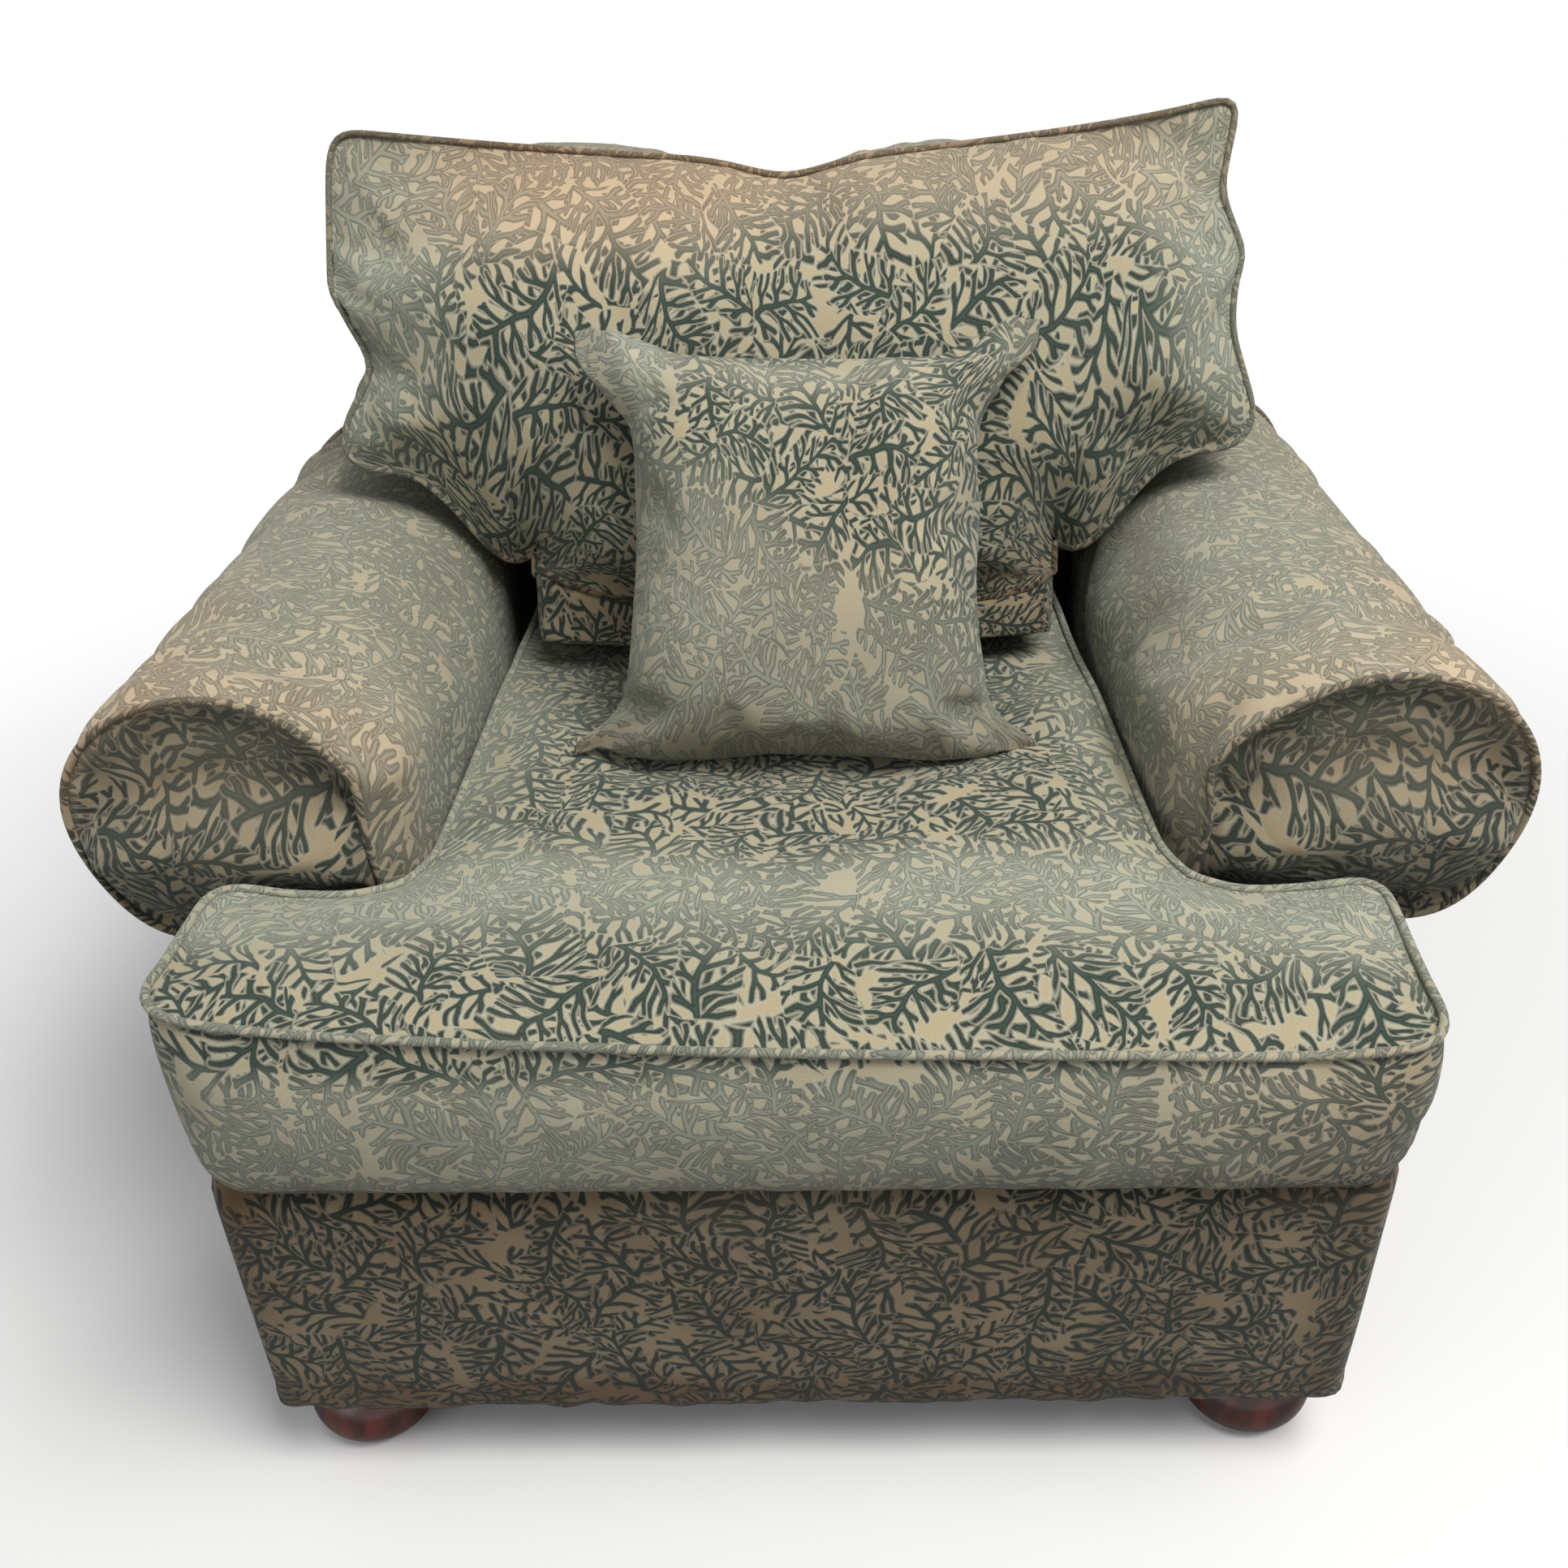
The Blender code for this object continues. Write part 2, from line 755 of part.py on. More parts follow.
def crease_levels(bm, level, levels, amount):
    """Creases the edges that run along a seam between a panel and the band round it."""
    crease = bm.edges.layers.float.get("crease_edge") or bm.edges.layers.float.new("crease_edge")
    for edge in bm.edges:
        a, b = edge.verts
        if a[level] == b[level] and a[level] in levels:
            sides = {sum(v[level] != a[level] for v in face.verts) > 0 for face in edge.link_faces}
            if len(sides) == 2:
                edge[crease] = amount


def crease_notch(bm, column, row, notch_row, amount):
    """Keeps the two inner corners of the T plan sharp, from the bottom panel to the top one."""
    point_crease = bm.verts.layers.float.new("crease_vert")
    edge_crease = bm.edges.layers.float.get("crease_edge")
    corners = [v for v in bm.verts if v[column] in (2, 6) and v[row] == notch_row]
    for vertex in corners:
        vertex[point_crease] = amount
    for edge in bm.edges:
        if edge.verts[0] in corners and edge.verts[1] in corners:
            edge[edge_crease] = amount


def seat_rows(front, ears_end):
    """Depths of the seven rows of a seat-shaped plan: three in the ears, four between the arms."""
    step = (cushion_back - ears_end) / 4
    return [front, (front + ears_end) / 2, ears_end] + [ears_end + step * k for k in range(1, 5)]


def make_deck():
    """The spring cover and felt under the seat cushion, in one sewn pad that has sunk in the middle."""
    rows = seat_rows(front_rail_front + border_lip + gap, arm_front - soft_clearance)
    bm, column, row = t_plan(len(rows), 2)
    level = thicken(bm, 1)
    crease_levels(bm, level, (0, 1), 1.0)
    crease_notch(bm, column, row, 2, 1.0)
    for vertex in bm.verts:
        y = rows[vertex[row]]
        x = plan_columns(seat_inner_at(y), half_base - side_cover - 2 * gap)[vertex[column]]
        edge = vertex[level] == 1
        z = (base_top if edge else deck_bottom) - dip_at(vertex[column], vertex[row])
        vertex.co = (x, y, z)
    return soften(place("seat_deck", mesh_from("seat_deck", bm), felt))


def seat_inner_at(y):
    """Half the width that the arms leave for the seat at depth y."""
    share = min(1.0, max(0.0, (y - arm_front) / (arm_back_end - arm_front)))
    return cushion_inner + (cushion_inner_back - cushion_inner) * share


def dip_at(column, row):
    """The deck's dip at a point of the plan's grid: none along its edges."""
    if row < 3 or row > 5 or not 2 < column < 6:
        return 0.0
    return deck_sag * (1.0 if column == 4 else 0.75) * (0.8 if row != 4 else 1.0)


def make_seat_cushion(supports):
    """The boxed T cushion: full ears in front of the arms, crowned, sunk where it was sat on."""
    rows = seat_rows(cushion_front, ear_back)
    bm, column, row = t_plan(len(rows), 2)
    level = thicken(bm, 2)
    crease_levels(bm, level, (0, 2), 0.75)
    crease_notch(bm, column, row, 2, 0.6)
    bottom = base_top + drop
    for vertex in bm.verts:
        y = rows[vertex[row]]
        x = plan_columns(seat_inner_at(y), cushion_ear_half)[vertex[column]]
        c, r, k = vertex[column], vertex[row], vertex[level]
        if k == 0:
            z = bottom - dip_at(c, r)
        elif k == 1:
            z = bottom + cushion_thickness * 0.5
            push = 0.010
            if r == 0:
                y -= push
            if c in (0, 8) and r <= 2:
                x += push if c else -push
        else:
            across = 1 - ((c - 4) / 4) ** 2
            along = math.sin(math.pi * min(1.0, (r + 0.4) / 6.4))
            worn = cushion_dip * max(0.0, 1 - ((c - 4) / 2) ** 2) * (1 if 2 <= r <= 4 else 0)
            tilt = -cushion_tilt * (c - 4) / 4 if r == 0 else 0.0
            z = bottom + cushion_thickness + cushion_crown * across * along - worn + tilt
        vertex.co = (x, y, z)
    piece = soften(place("seat_cushion", mesh_from("seat_cushion", bm), pale_cloth))
    return rest_on(piece, supports)


def rest_on(piece, supports, direction=Vector((0, 0, -1)), clearance=2 * gap):
    """Moves the piece along the direction until it lies just clear of its supports."""
    bpy.context.view_layer.update()
    graph = bpy.context.evaluated_depsgraph_get()

    def shape(of):
        evaluated = of.evaluated_get(graph)
        mesh = evaluated.to_mesh()
        points = [evaluated.matrix_world @ v.co for v in mesh.vertices]
        faces = [tuple(p.vertices) for p in mesh.polygons]
        evaluated.to_mesh_clear()
        return points, BVHTree.FromPolygons(points, faces)

    points, tree = shape(piece)
    reach = []
    for support in supports:
        under, under_tree = shape(support)
        for point in points:
            hit = under_tree.ray_cast(point, direction)
            if hit[0] is not None:
                reach.append(hit[3])
        for point in under:
            hit = tree.ray_cast(point, -direction)
            if hit[0] is not None:
                reach.append(hit[3])
    piece.location += direction * (min(reach) - clearance)
    bpy.context.view_layer.update()
    return piece


def lean(piece, seat, behind):
    """Drops the piece onto the seat and pushes it back against what stands behind it."""
    backwards = Vector((0, 1, 0))
    rest_on(piece, [seat])
    for _ in range(3):
        rest_on(piece, [behind], backwards)
        piece.location += Vector((0, -0.01, 0.01))
        rest_on(piece, [seat])
        piece.location += Vector((0, 0, 0.5 * gap))
    return rest_on(piece, [behind], backwards)


def make_back_cushion(seat, inside_back):
    """A feather pillow, wider above the arms than between them, with a boxed edge and a slumped top."""
    rows = 7
    bm, column, row = t_plan(rows, 3)
    level = thicken(bm, 2)
    crease_levels(bm, level, (0, 2), 0.55)
    start = base_top + cushion_thickness + 2 * drop
    heights = [0.0, 0.5 * pillow_shoulder, pillow_shoulder]
    upper = pillow_height - pillow_shoulder
    heights += [pillow_shoulder + upper * share for share in (0.26, 0.52, 0.78, 1.0)]
    drawn_in = [0.0, 0.0, 0.008, -0.014, 0.004, 0.0, -0.006]
    for vertex in bm.verts:
        c, k = vertex[column], vertex[level]
        r = rows - 1 - vertex[row]
        share = heights[r] / pillow_height
        z = start + heights[r]
        x = plan_columns(pillow_bottom_half, pillow_top_half + drawn_in[r])[c]
        if r == rows - 1:
            z -= pillow_top_dip * (1 if c == 4 else 0.5 if c in (3, 5) else 0.0)
            z += pillow_side_lift if c in (0, 8) else 0.0
            z += pillow_horn if c == 8 else 0.0
        z += pillow_front_lift * k / 2 if r == 0 else 0.0
        half_columns = 4 if r > 2 else 2
        across = max(0.0, 1 - ((c - 4) / half_columns) ** 2)
        along = math.sin(math.pi * (share * 0.86 + 0.05))
        depth = pillow_bottom_depth + (pillow_top_depth - pillow_bottom_depth) * share
        y = post_front - back_pad - drop + back_line(z - 2 * drop) - depth * k / 2
        if k == 2:
            y -= pillow_crown * across ** 0.7 * along
        if k == 1:
            puff = 0.008
            x += puff * (1 if c == 8 else -1 if c == 0 else 0)
            z += puff if r == rows - 1 else 0.0
        vertex.co = (x, y, z)
    piece = soften(place("back_cushion", mesh_from("back_cushion", bm), cloth))
    return lean(piece, seat, inside_back)


def make_scatter_cushion(seat, pillow):
    """A square knife-edge cushion with drawn-out corners, leaning on the back cushion."""
    steps = 8
    bm = bmesh.new()
    bmesh.ops.create_grid(bm, x_segments=steps, y_segments=steps, size=1.0)

    def flat(u, v):
        """The seam's outline: its sides are drawn in between the corners."""
        x = scatter_width / 2 * u - scatter_pinch * u * (1 - v * v) ** 0.8
        z = scatter_height / 2 * v - scatter_pinch * 0.6 * v * (1 - u * u) ** 0.8
        return x, z

    copied = bmesh.ops.duplicate(bm, geom=bm.faces[:] + bm.edges[:] + bm.verts[:])
    second = {item for item in copied["geom"] if isinstance(item, bmesh.types.BMVert)}
    for vertex in bm.verts:
        u, v = vertex.co.x, vertex.co.y
        x, z = flat(u, v)
        fat = scatter_loft * (max(0.0, 1 - u ** 4) * max(0.0, 1 - v ** 4)) ** 0.5
        vertex.co = (x, fat if vertex in second else -fat, z)
    bmesh.ops.remove_doubles(bm, verts=bm.verts, dist=0.0001)
    piece = place("scatter_cushion", mesh_from("scatter_cushion", bm), pale_cloth)
    piece.rotation_euler = (-scatter_lean, scatter_roll, 0.0)
    piece.location = (scatter_shift, scatter_start, base_top + cushion_thickness + scatter_height)
    return lean(piece, seat, pillow)


make_feet_and_blocks()
make_rails()
make_back_frame()
make_back_webbing()
for arm_side in (-1, 1):
    make_arm_frame(arm_side)
    make_arm_pad(arm_side)
    make_outside_arm(arm_side)
front_border = make_front_border()
make_outside_back()
padded_back = make_inside_back()
make_dust_cloth()
for spring_number in range(1, spring_count + 1):
    make_spring(spring_number)
seat_deck = make_deck()
seat_cushion = make_seat_cushion([seat_deck, front_border])
back_cushion = make_back_cushion(seat_cushion, padded_back)
make_scatter_cushion(seat_cushion, back_cushion)
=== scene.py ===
# %% [markdown]
# # A sagging old armchair
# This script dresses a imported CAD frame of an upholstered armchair: a boxed T-shaped seat cushion, a
# feather back cushion, a small square cushion, rolled arms, a padded base on turned feet. The CAD solids
# give every piece its place. What is made here is what an upholsterer would add: cloth with its woven
# pattern, welts, puckers, sagging stuffing, sun-fading and dirt.

# %% Load the frame
import math

import bpy
import numpy as np
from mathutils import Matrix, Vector


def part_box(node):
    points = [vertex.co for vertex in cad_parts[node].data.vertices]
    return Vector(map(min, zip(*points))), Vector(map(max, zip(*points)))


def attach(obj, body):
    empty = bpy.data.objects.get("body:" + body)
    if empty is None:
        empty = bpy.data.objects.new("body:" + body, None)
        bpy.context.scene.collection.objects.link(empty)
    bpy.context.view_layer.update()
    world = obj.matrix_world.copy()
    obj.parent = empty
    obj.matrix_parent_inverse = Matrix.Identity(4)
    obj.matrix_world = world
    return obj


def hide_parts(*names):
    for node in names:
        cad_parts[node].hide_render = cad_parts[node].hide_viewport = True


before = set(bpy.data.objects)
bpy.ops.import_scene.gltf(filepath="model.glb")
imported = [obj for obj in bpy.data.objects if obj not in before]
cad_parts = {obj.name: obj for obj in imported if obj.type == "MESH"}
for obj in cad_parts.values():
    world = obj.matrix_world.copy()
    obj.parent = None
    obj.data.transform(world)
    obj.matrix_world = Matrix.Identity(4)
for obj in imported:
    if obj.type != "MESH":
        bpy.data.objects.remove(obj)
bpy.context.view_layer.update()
scene = bpy.context.scene

# %% [markdown]
# ## The view
# The chair was seen from a little above the back cushion, close by, looking down. A lens of 35 mm on a 36
# mm wide sensor at 1 m from the seat's front edge gives the strong perspective. The camera's matrix is
# built from its heading, its tilt and a small roll, because those are the numbers that a view is measured
# in.

# %% Camera
sensor_width = 36.0
focal_pixels, photo_pixels = 1900.85, 1932
camera_place = (0.0147, -1.1997, 1.192)
heading, tilt, roll = -0.0229, 0.5853, -0.0315
forward = np.array([math.sin(heading) * math.cos(tilt), math.cos(heading) * math.cos(tilt), -math.sin(tilt)])
level_right = np.array([math.cos(heading), -math.sin(heading), 0.0])
level_up = np.cross(level_right, forward)
right = level_right * math.cos(roll) + level_up * math.sin(roll)
up = -level_right * math.sin(roll) + level_up * math.cos(roll)
turn = np.eye(4)
turn[:3, 0], turn[:3, 1], turn[:3, 2], turn[:3, 3] = right, up, -forward, camera_place
camera_data = bpy.data.cameras.new("camera")
camera_data.sensor_width = sensor_width
camera_data.lens = sensor_width * focal_pixels / photo_pixels
camera = bpy.data.objects.new("camera", camera_data)
camera.matrix_world = turn.T.tolist()
scene.collection.objects.link(camera)
scene.camera = camera
scene.view_settings.view_transform = "Standard"
print("lens", round(camera_data.lens, 2), "mm")

# %% [markdown]
# ## Wiring materials by formula
# Every finish here is a sum of small formulas: distances, ramps and noise. Placing nodes by hand would take
# hundreds of lines, so a few helpers wire them. `link` joins a value to a socket, whether it is a number or
# another node's output, `calc` adds one Math node and returns its output, and `ramp` and `mixed` do the
# same for a smooth step and for a blend of two colours.

# %% Node helpers
def link(tree, value, socket):
    """Joins an output to the socket, or types a number or colour into it."""
    if isinstance(value, bpy.types.NodeSocket):
        tree.links.new(value, socket)
    else:
        socket.default_value = value


def calc(tree, operation, *values, kind="ShaderNodeMath"):
    """One Math node, or Vector Math node: the operation on the values, which are numbers or outputs."""
    node = tree.nodes.new(kind)
    node.operation = operation
    for value, socket in zip(values, node.inputs):
        link(tree, value, socket)
    return node.outputs[0]


def node_of(tree, kind, settings=(), **inputs):
    """One node of a kind, with its settings as (name, value) pairs and its inputs by name."""
    node = tree.nodes.new(kind)
    for name, value in settings:
        setattr(node, name, value)
    for name, value in inputs.items():
        link(tree, value, node.inputs[name.replace("_", " ")])
    return node


def ramp(tree, value, low, high, to_low=0.0, to_high=1.0):
    """Rises smoothly from to_low to to_high while the value goes from low to high."""
    node = tree.nodes.new("ShaderNodeMapRange")
    node.interpolation_type = "SMOOTHSTEP"
    for number, given in enumerate((value, low, high, to_low, to_high)):
        link(tree, given, node.inputs[number])
    return node.outputs[0]


def mixed(tree, share, first, second, blend="MIX"):
    """Blends two colours by a share."""
    node = tree.nodes.new("ShaderNodeMix")
    node.data_type = "RGBA"
    node.blend_type = blend
    link(tree, share, node.inputs[0])
    link(tree, first, node.inputs[6])
    link(tree, second, node.inputs[7])
    return node.outputs[2]


def linear(red, green, blue):
    """A screen colour from 0 to 255 as the linear colour that nodes use, fully opaque."""
    values = np.array([red, green, blue]) / 255
    values = np.where(values <= 0.04045, values / 12.92, ((values + 0.055) / 1.055) ** 2.4)
    return (*values.tolist(), 1.0)


def new_material(name):
    """A material with its node tree and its Principled BSDF."""
    made = bpy.data.materials.new(name)
    made.use_nodes = True
    return made, made.node_tree, made.node_tree.nodes["Principled BSDF"]


# %% [markdown]
# ## The woven sprigs
# The cloth is a cut chenille with branching twigs all over it, a common furnishing pattern. A picture of it
# would blur close up, so the twigs are drawn by distance formulas. The plane is split into cells with a
# Voronoi texture. Each cell has one curved stem with side twigs to its left and right, and each twig forks
# into two. Folding does the forking: taking the absolute value of the distance to a twig's middle line and
# then subtracting an offset that grows makes two lines out of one. A second, finer layer of sprigs is kept
# a little way off the first, so that the twigs interlock as woven ones do.

# %% One layer of sprigs
vector_math = "ShaderNodeVectorMath"
flat_noise = [("noise_dimensions", "2D")]


def sprig_layer(tree, place, cell, width, spacing, bend, fork_from, reach, gap):
    """How deep a point is inside a stroke of the layer, in metres: above zero is inside.

    place is the point on the cloth, cell the size of a sprig, width the width of a stroke, spacing the
    distance between twigs along the stem, bend the stem's curvature, fork_from the shortest way to a fork,
    reach the longest twig and gap the bare strip round a cell.
    """
    lean, curl, join = 0.85, 11.5, 0.0020
    stem_length, fork_spread, fork_opening = 0.31, 0.0105, 0.0115
    settings = [("voronoi_dimensions", "2D")]
    centre = node_of(tree, "ShaderNodeTexVoronoi", settings, Vector=place, Scale=1 / cell, Randomness=0.8)
    edge = node_of(tree, "ShaderNodeTexVoronoi", [*settings, ("feature", "DISTANCE_TO_EDGE")],
                   Vector=place, Scale=1 / cell, Randomness=0.8)
    chance = node_of(tree, "ShaderNodeSeparateColor", Color=centre.outputs["Color"]).outputs
    away = calc(tree, "SUBTRACT", place, centre.outputs["Position"], kind=vector_math)
    offset = node_of(tree, "ShaderNodeSeparateXYZ", Vector=away).outputs
    angle = calc(tree, "MULTIPLY", chance[0], 2 * math.pi)
    cosine, sine = calc(tree, "COSINE", angle), calc(tree, "SINE", angle)
    along = calc(tree, "MULTIPLY_ADD", offset[0], cosine, calc(tree, "MULTIPLY", offset[1], sine))
    across = calc(tree, "SUBTRACT", calc(tree, "MULTIPLY", offset[1], cosine),
                  calc(tree, "MULTIPLY", offset[0], sine))
    bow = calc(tree, "MULTIPLY", calc(tree, "SUBTRACT", chance[1], 0.5), bend)
    across = calc(tree, "MULTIPLY_ADD", calc(tree, "MULTIPLY", along, along), bow, across)
    side = calc(tree, "GREATER_THAN", across, 0.0)
    off = calc(tree, "ABSOLUTE", across)
    thinning = calc(tree, "MULTIPLY_ADD", along, -width / stem_length, width / 2)
    stem = calc(tree, "SUBTRACT", thinning, off)
    sheared = calc(tree, "MULTIPLY_ADD", off, -lean, along)
    sheared = calc(tree, "MULTIPLY_ADD", calc(tree, "MULTIPLY", off, off), curl, sheared)
    count = calc(tree, "MULTIPLY_ADD", sheared, 1 / spacing, chance[2])
    count = calc(tree, "MULTIPLY_ADD", side, 0.5, count)
    row = calc(tree, "FLOOR", count)
    within = calc(tree, "SUBTRACT", calc(tree, "FRACT", count), 0.5)
    seed = node_of(tree, "ShaderNodeCombineXYZ", X=row, Y=side, Z=calc(tree, "MULTIPLY", chance[1], 97.0))
    dice = node_of(tree, "ShaderNodeTexWhiteNoise", [("noise_dimensions", "3D")], Vector=seed.outputs[0])
    rolls = node_of(tree, "ShaderNodeSeparateColor", Color=dice.outputs["Color"]).outputs
    squeeze = 1 / math.sqrt(1 + lean * lean)
    beside = calc(tree, "ABSOLUTE", calc(tree, "MULTIPLY", within, spacing * squeeze))
    run = calc(tree, "MULTIPLY", off, 0.85 / squeeze)
    fork_at = calc(tree, "MULTIPLY_ADD", rolls[0], fork_spread, fork_from)
    arm = ramp(tree, calc(tree, "SUBTRACT", run, fork_at), 0.0, fork_opening, 0.0, spacing * squeeze / 4)
    beside = calc(tree, "SUBTRACT", beside, arm)
    length = calc(tree, "MULTIPLY_ADD", rolls[1], reach * 0.75, reach * 0.45)
    past = calc(tree, "MAXIMUM", calc(tree, "SUBTRACT", run, length), 0.0)
    reached = calc(tree, "MULTIPLY_ADD", past, past, calc(tree, "MULTIPLY", beside, beside))
    taper = calc(tree, "MULTIPLY_ADD", run, -6 * width, width * 0.49)
    twig = calc(tree, "SUBTRACT", taper, calc(tree, "SQRT", reached))
    ink = calc(tree, "SMOOTH_MAX", stem, twig, join)
    rim = calc(tree, "MULTIPLY_ADD", edge.outputs["Distance"], cell * 0.9, -gap)
    return calc(tree, "SMOOTH_MIN", ink, rim, 0.002)


def sprig_pattern():
    """A node group that turns a place on the cloth, in metres, into the depth inside a stroke."""
    tree = bpy.data.node_groups.new("sprigs", "ShaderNodeTree")
    tree.interface.new_socket("Place", in_out="INPUT", socket_type="NodeSocketVector")
    tree.interface.new_socket("Ink", in_out="OUTPUT", socket_type="NodeSocketFloat")
    place = tree.nodes.new("NodeGroupInput").outputs[0]
    for scale, strength in ((13.0, 0.024), (45.0, 0.0055)):
        noise = node_of(tree, "ShaderNodeTexNoise", flat_noise, Vector=place, Scale=scale, Detail=0.0)
        place = calc(tree, "MULTIPLY_ADD", noise.outputs["Color"], (strength,) * 3, place, kind=vector_math)
    large = sprig_layer(tree, place, cell=0.060, width=0.0035, spacing=0.0165, bend=26.0,
                        fork_from=0.0034, reach=0.031, gap=0.0010)
    moved = calc(tree, "ADD", place, (0.31, 0.17, 0.0), kind=vector_math)
    small = sprig_layer(tree, moved, cell=0.044, width=0.0032, spacing=0.0150, bend=38.0,
                        fork_from=0.0026, reach=0.026, gap=0.0007)
    kept_off = calc(tree, "SUBTRACT", -0.0018, large)
    small = calc(tree, "SMOOTH_MIN", small, kept_off, 0.001)
    ink = calc(tree, "MAXIMUM", large, small)
    tree.links.new(ink, tree.nodes.new("NodeGroupOutput").inputs[0])
    return tree


sprigs = sprig_pattern()
print("sprig nodes:", len(sprigs.nodes))

# %% [markdown]
# ## The worn cloth
# Four things have happened to the cloth. Its green has faded to a dusty grey-green where people touch it,
# the sun has bleached the top of the back and the arms to peach and tan, the lower edges are brown with
# grime, and the pile is crushed. Where each has happened differs from piece to piece, so every piece stores
# three shares at its points, fade, tan and a third share for grime and painted shade, as one colour
# attribute, and the one material reads them. The third share is painted shade where it darkens the arms'
# sunken end faces and the fold under their top welt, the foot and the top of the back cushion, and the arm
# and back welts.

# %% Cloth material
ground, near_strokes = (168, 155, 125), (164, 163, 144)
faded_ground, tan_ground = (174, 177, 160), (200, 178, 148)
green, dark = (54, 70, 61), (24, 34, 29)
faded_green, tan_green = (160, 165, 149), (176, 158, 134)
dirt_and_shade_colour = (146, 122, 104)


def cloth_material(name):
    """The chenille: sprigs on a plain ground with a painted shadow line round each stroke. The piece's own
    attribute fades and bleaches it, browns it with grime and darkens it with painted shade.
    """
    made, tree, shader = new_material(name)
    place = node_of(tree, "ShaderNodeUVMap", [("uv_map", "cloth")]).outputs[0]
    wear_shade_reader = node_of(tree, "ShaderNodeAttribute", [("attribute_name", "worn_and_shaded")])
    fade, tan, soil_and_shade = node_of(tree, "ShaderNodeSeparateColor", Color=wear_shade_reader.outputs["Color"]).outputs[:3]
    group = tree.nodes.new("ShaderNodeGroup")
    group.node_tree = sprigs
    tree.links.new(place, group.inputs[0])
    ink = group.outputs[0]
    patches = node_of(tree, "ShaderNodeTexNoise", flat_noise,
                      Vector=place, Scale=9.0, Detail=3.0, Roughness=0.6).outputs[0]
    pile = node_of(tree, "ShaderNodeTexNoise", flat_noise,
                   Vector=place, Scale=900.0, Detail=2.0, Roughness=0.7).outputs[0]
    fade = calc(tree, "ADD", fade, calc(tree, "MULTIPLY_ADD", patches, 0.56, -0.28))
    fade.node.use_clamp = True
    frayed = calc(tree, "MULTIPLY_ADD", pile, 0.0012, calc(tree, "SUBTRACT", ink, 0.0006))
    stroke = ramp(tree, frayed, -0.0006, 0.0006)
    heart = ramp(tree, ink, 0.0001, 0.0015)
    near = ramp(tree, ink, -0.0030, -0.0006)
    # A thin band along every stroke's edge is darkened further down: painted shade, a dark line standing for
    # the shadow at the edge of the raised pile.
    rim = ramp(tree, calc(tree, "ABSOLUTE", calc(tree, "ADD", frayed, 0.0002)), 0.0002, 0.0010, 1.0, 0.0)
    base = mixed(tree, near, linear(*ground), linear(*near_strokes))
    base = mixed(tree, calc(tree, "MULTIPLY", fade, 0.55), base, linear(*faded_ground))
    base = mixed(tree, tan, base, linear(*tan_ground))
    strokes = mixed(tree, heart, linear(*dark), linear(*green))
    faded = mixed(tree, tan, linear(*faded_green), linear(*tan_green))
    strokes = mixed(tree, ramp(tree, fade, 0.05, 1.0, 0.0, 0.90), strokes, faded)
    colour = mixed(tree, stroke, base, strokes)
    # The painted edge shadow, times the pile's own light and dark tufts, multiplies the colour.
    line = calc(tree, "MULTIPLY_ADD", rim, -0.48, 1.0)
    shade = calc(tree, "MULTIPLY", line, calc(tree, "MULTIPLY_ADD", pile, 0.40, 0.80))
    pile_and_edge_shade = node_of(tree, "ShaderNodeCombineColor", Red=shade, Green=shade, Blue=shade).outputs[0]
    colour = mixed(tree, 1.0, colour, pile_and_edge_shade, "MULTIPLY")
    # The third share darkens and browns the colour: real grime on the lower edges, and painted shade where
    # the arms', the back cushion's and the welts' shares put it.
    dirt_and_shade_share = calc(tree, "MULTIPLY", soil_and_shade, calc(tree, "MULTIPLY_ADD", patches, 0.8, 0.55))
    dirt_and_shade_share.node.use_clamp = True
    colour = mixed(tree, dirt_and_shade_share, colour, mixed(tree, 1.0, colour, linear(*dirt_and_shade_colour), "MULTIPLY"))
    link(tree, colour, shader.inputs["Base Color"])
    shader.inputs["Roughness"].default_value = 0.92
    shader.inputs["Specular IOR Level"].default_value = 0.25
    shader.inputs["Sheen Weight"].default_value = 0.25
    shader.inputs["Sheen Roughness"].default_value = 0.5
    shader.inputs["Sheen Tint"].default_value = linear(205, 212, 205)
    height = calc(tree, "MULTIPLY_ADD", stroke, 0.5, calc(tree, "MULTIPLY", pile, 0.9))
    bump = node_of(tree, "ShaderNodeBump", Height=height, Distance=0.0009, Strength=0.6)
    link(tree, bump.outputs[0], shader.inputs["Normal"])
    return made


coral_cloth = cloth_material("coral_cloth")
print("cloth nodes:", len(coral_cloth.node_tree.nodes))

# %% [markdown]
# ## Mesh helpers
# Pieces are worked out as whole arrays of points and four-sided faces. `piece_from` puts them into a mesh,
# writes the cloth map and the shares of fading, grime and painted shade, and smooths the shading. The cloth
# map is in real metres, so that the sprigs have one size on every piece. `smooth_step`, `hill` and `waves`
# are the formulas that shapes, fading, grime and painted shade are made of.

# %% Mesh from arrays
def piece_from(name, points, faces, cloth_map=None, worn_and_shaded=None, material=None):
    """A mesh object from points (n, 3), faces (m, 4) and the map's places (m, 4, 2), facing outwards."""
    mesh = bpy.data.meshes.new(name)
    mesh.from_pydata(points.tolist(), [], faces.tolist())
    if cloth_map is not None:
        layer = mesh.uv_layers.new(name="cloth")
        layer.data.foreach_set("uv", cloth_map.reshape(-1).astype(np.float32))
    if worn_and_shaded is not None:
        shares = mesh.color_attributes.new("worn_and_shaded", "FLOAT_COLOR", "POINT")
        colours = np.ones((len(points), 4), np.float32)
        colours[:, :3] = np.clip(worn_and_shaded, 0, 1)
        shares.data.foreach_set("color", colours.reshape(-1))
    mesh.polygons.foreach_set("use_smooth", np.ones(len(faces), bool))
    mesh.update()
    if signed_volume(points, faces) < 0:
        mesh.flip_normals()
    if material is not None:
        mesh.materials.append(material)
    piece = bpy.data.objects.new(name, mesh)
    scene.collection.objects.link(piece)
    return piece


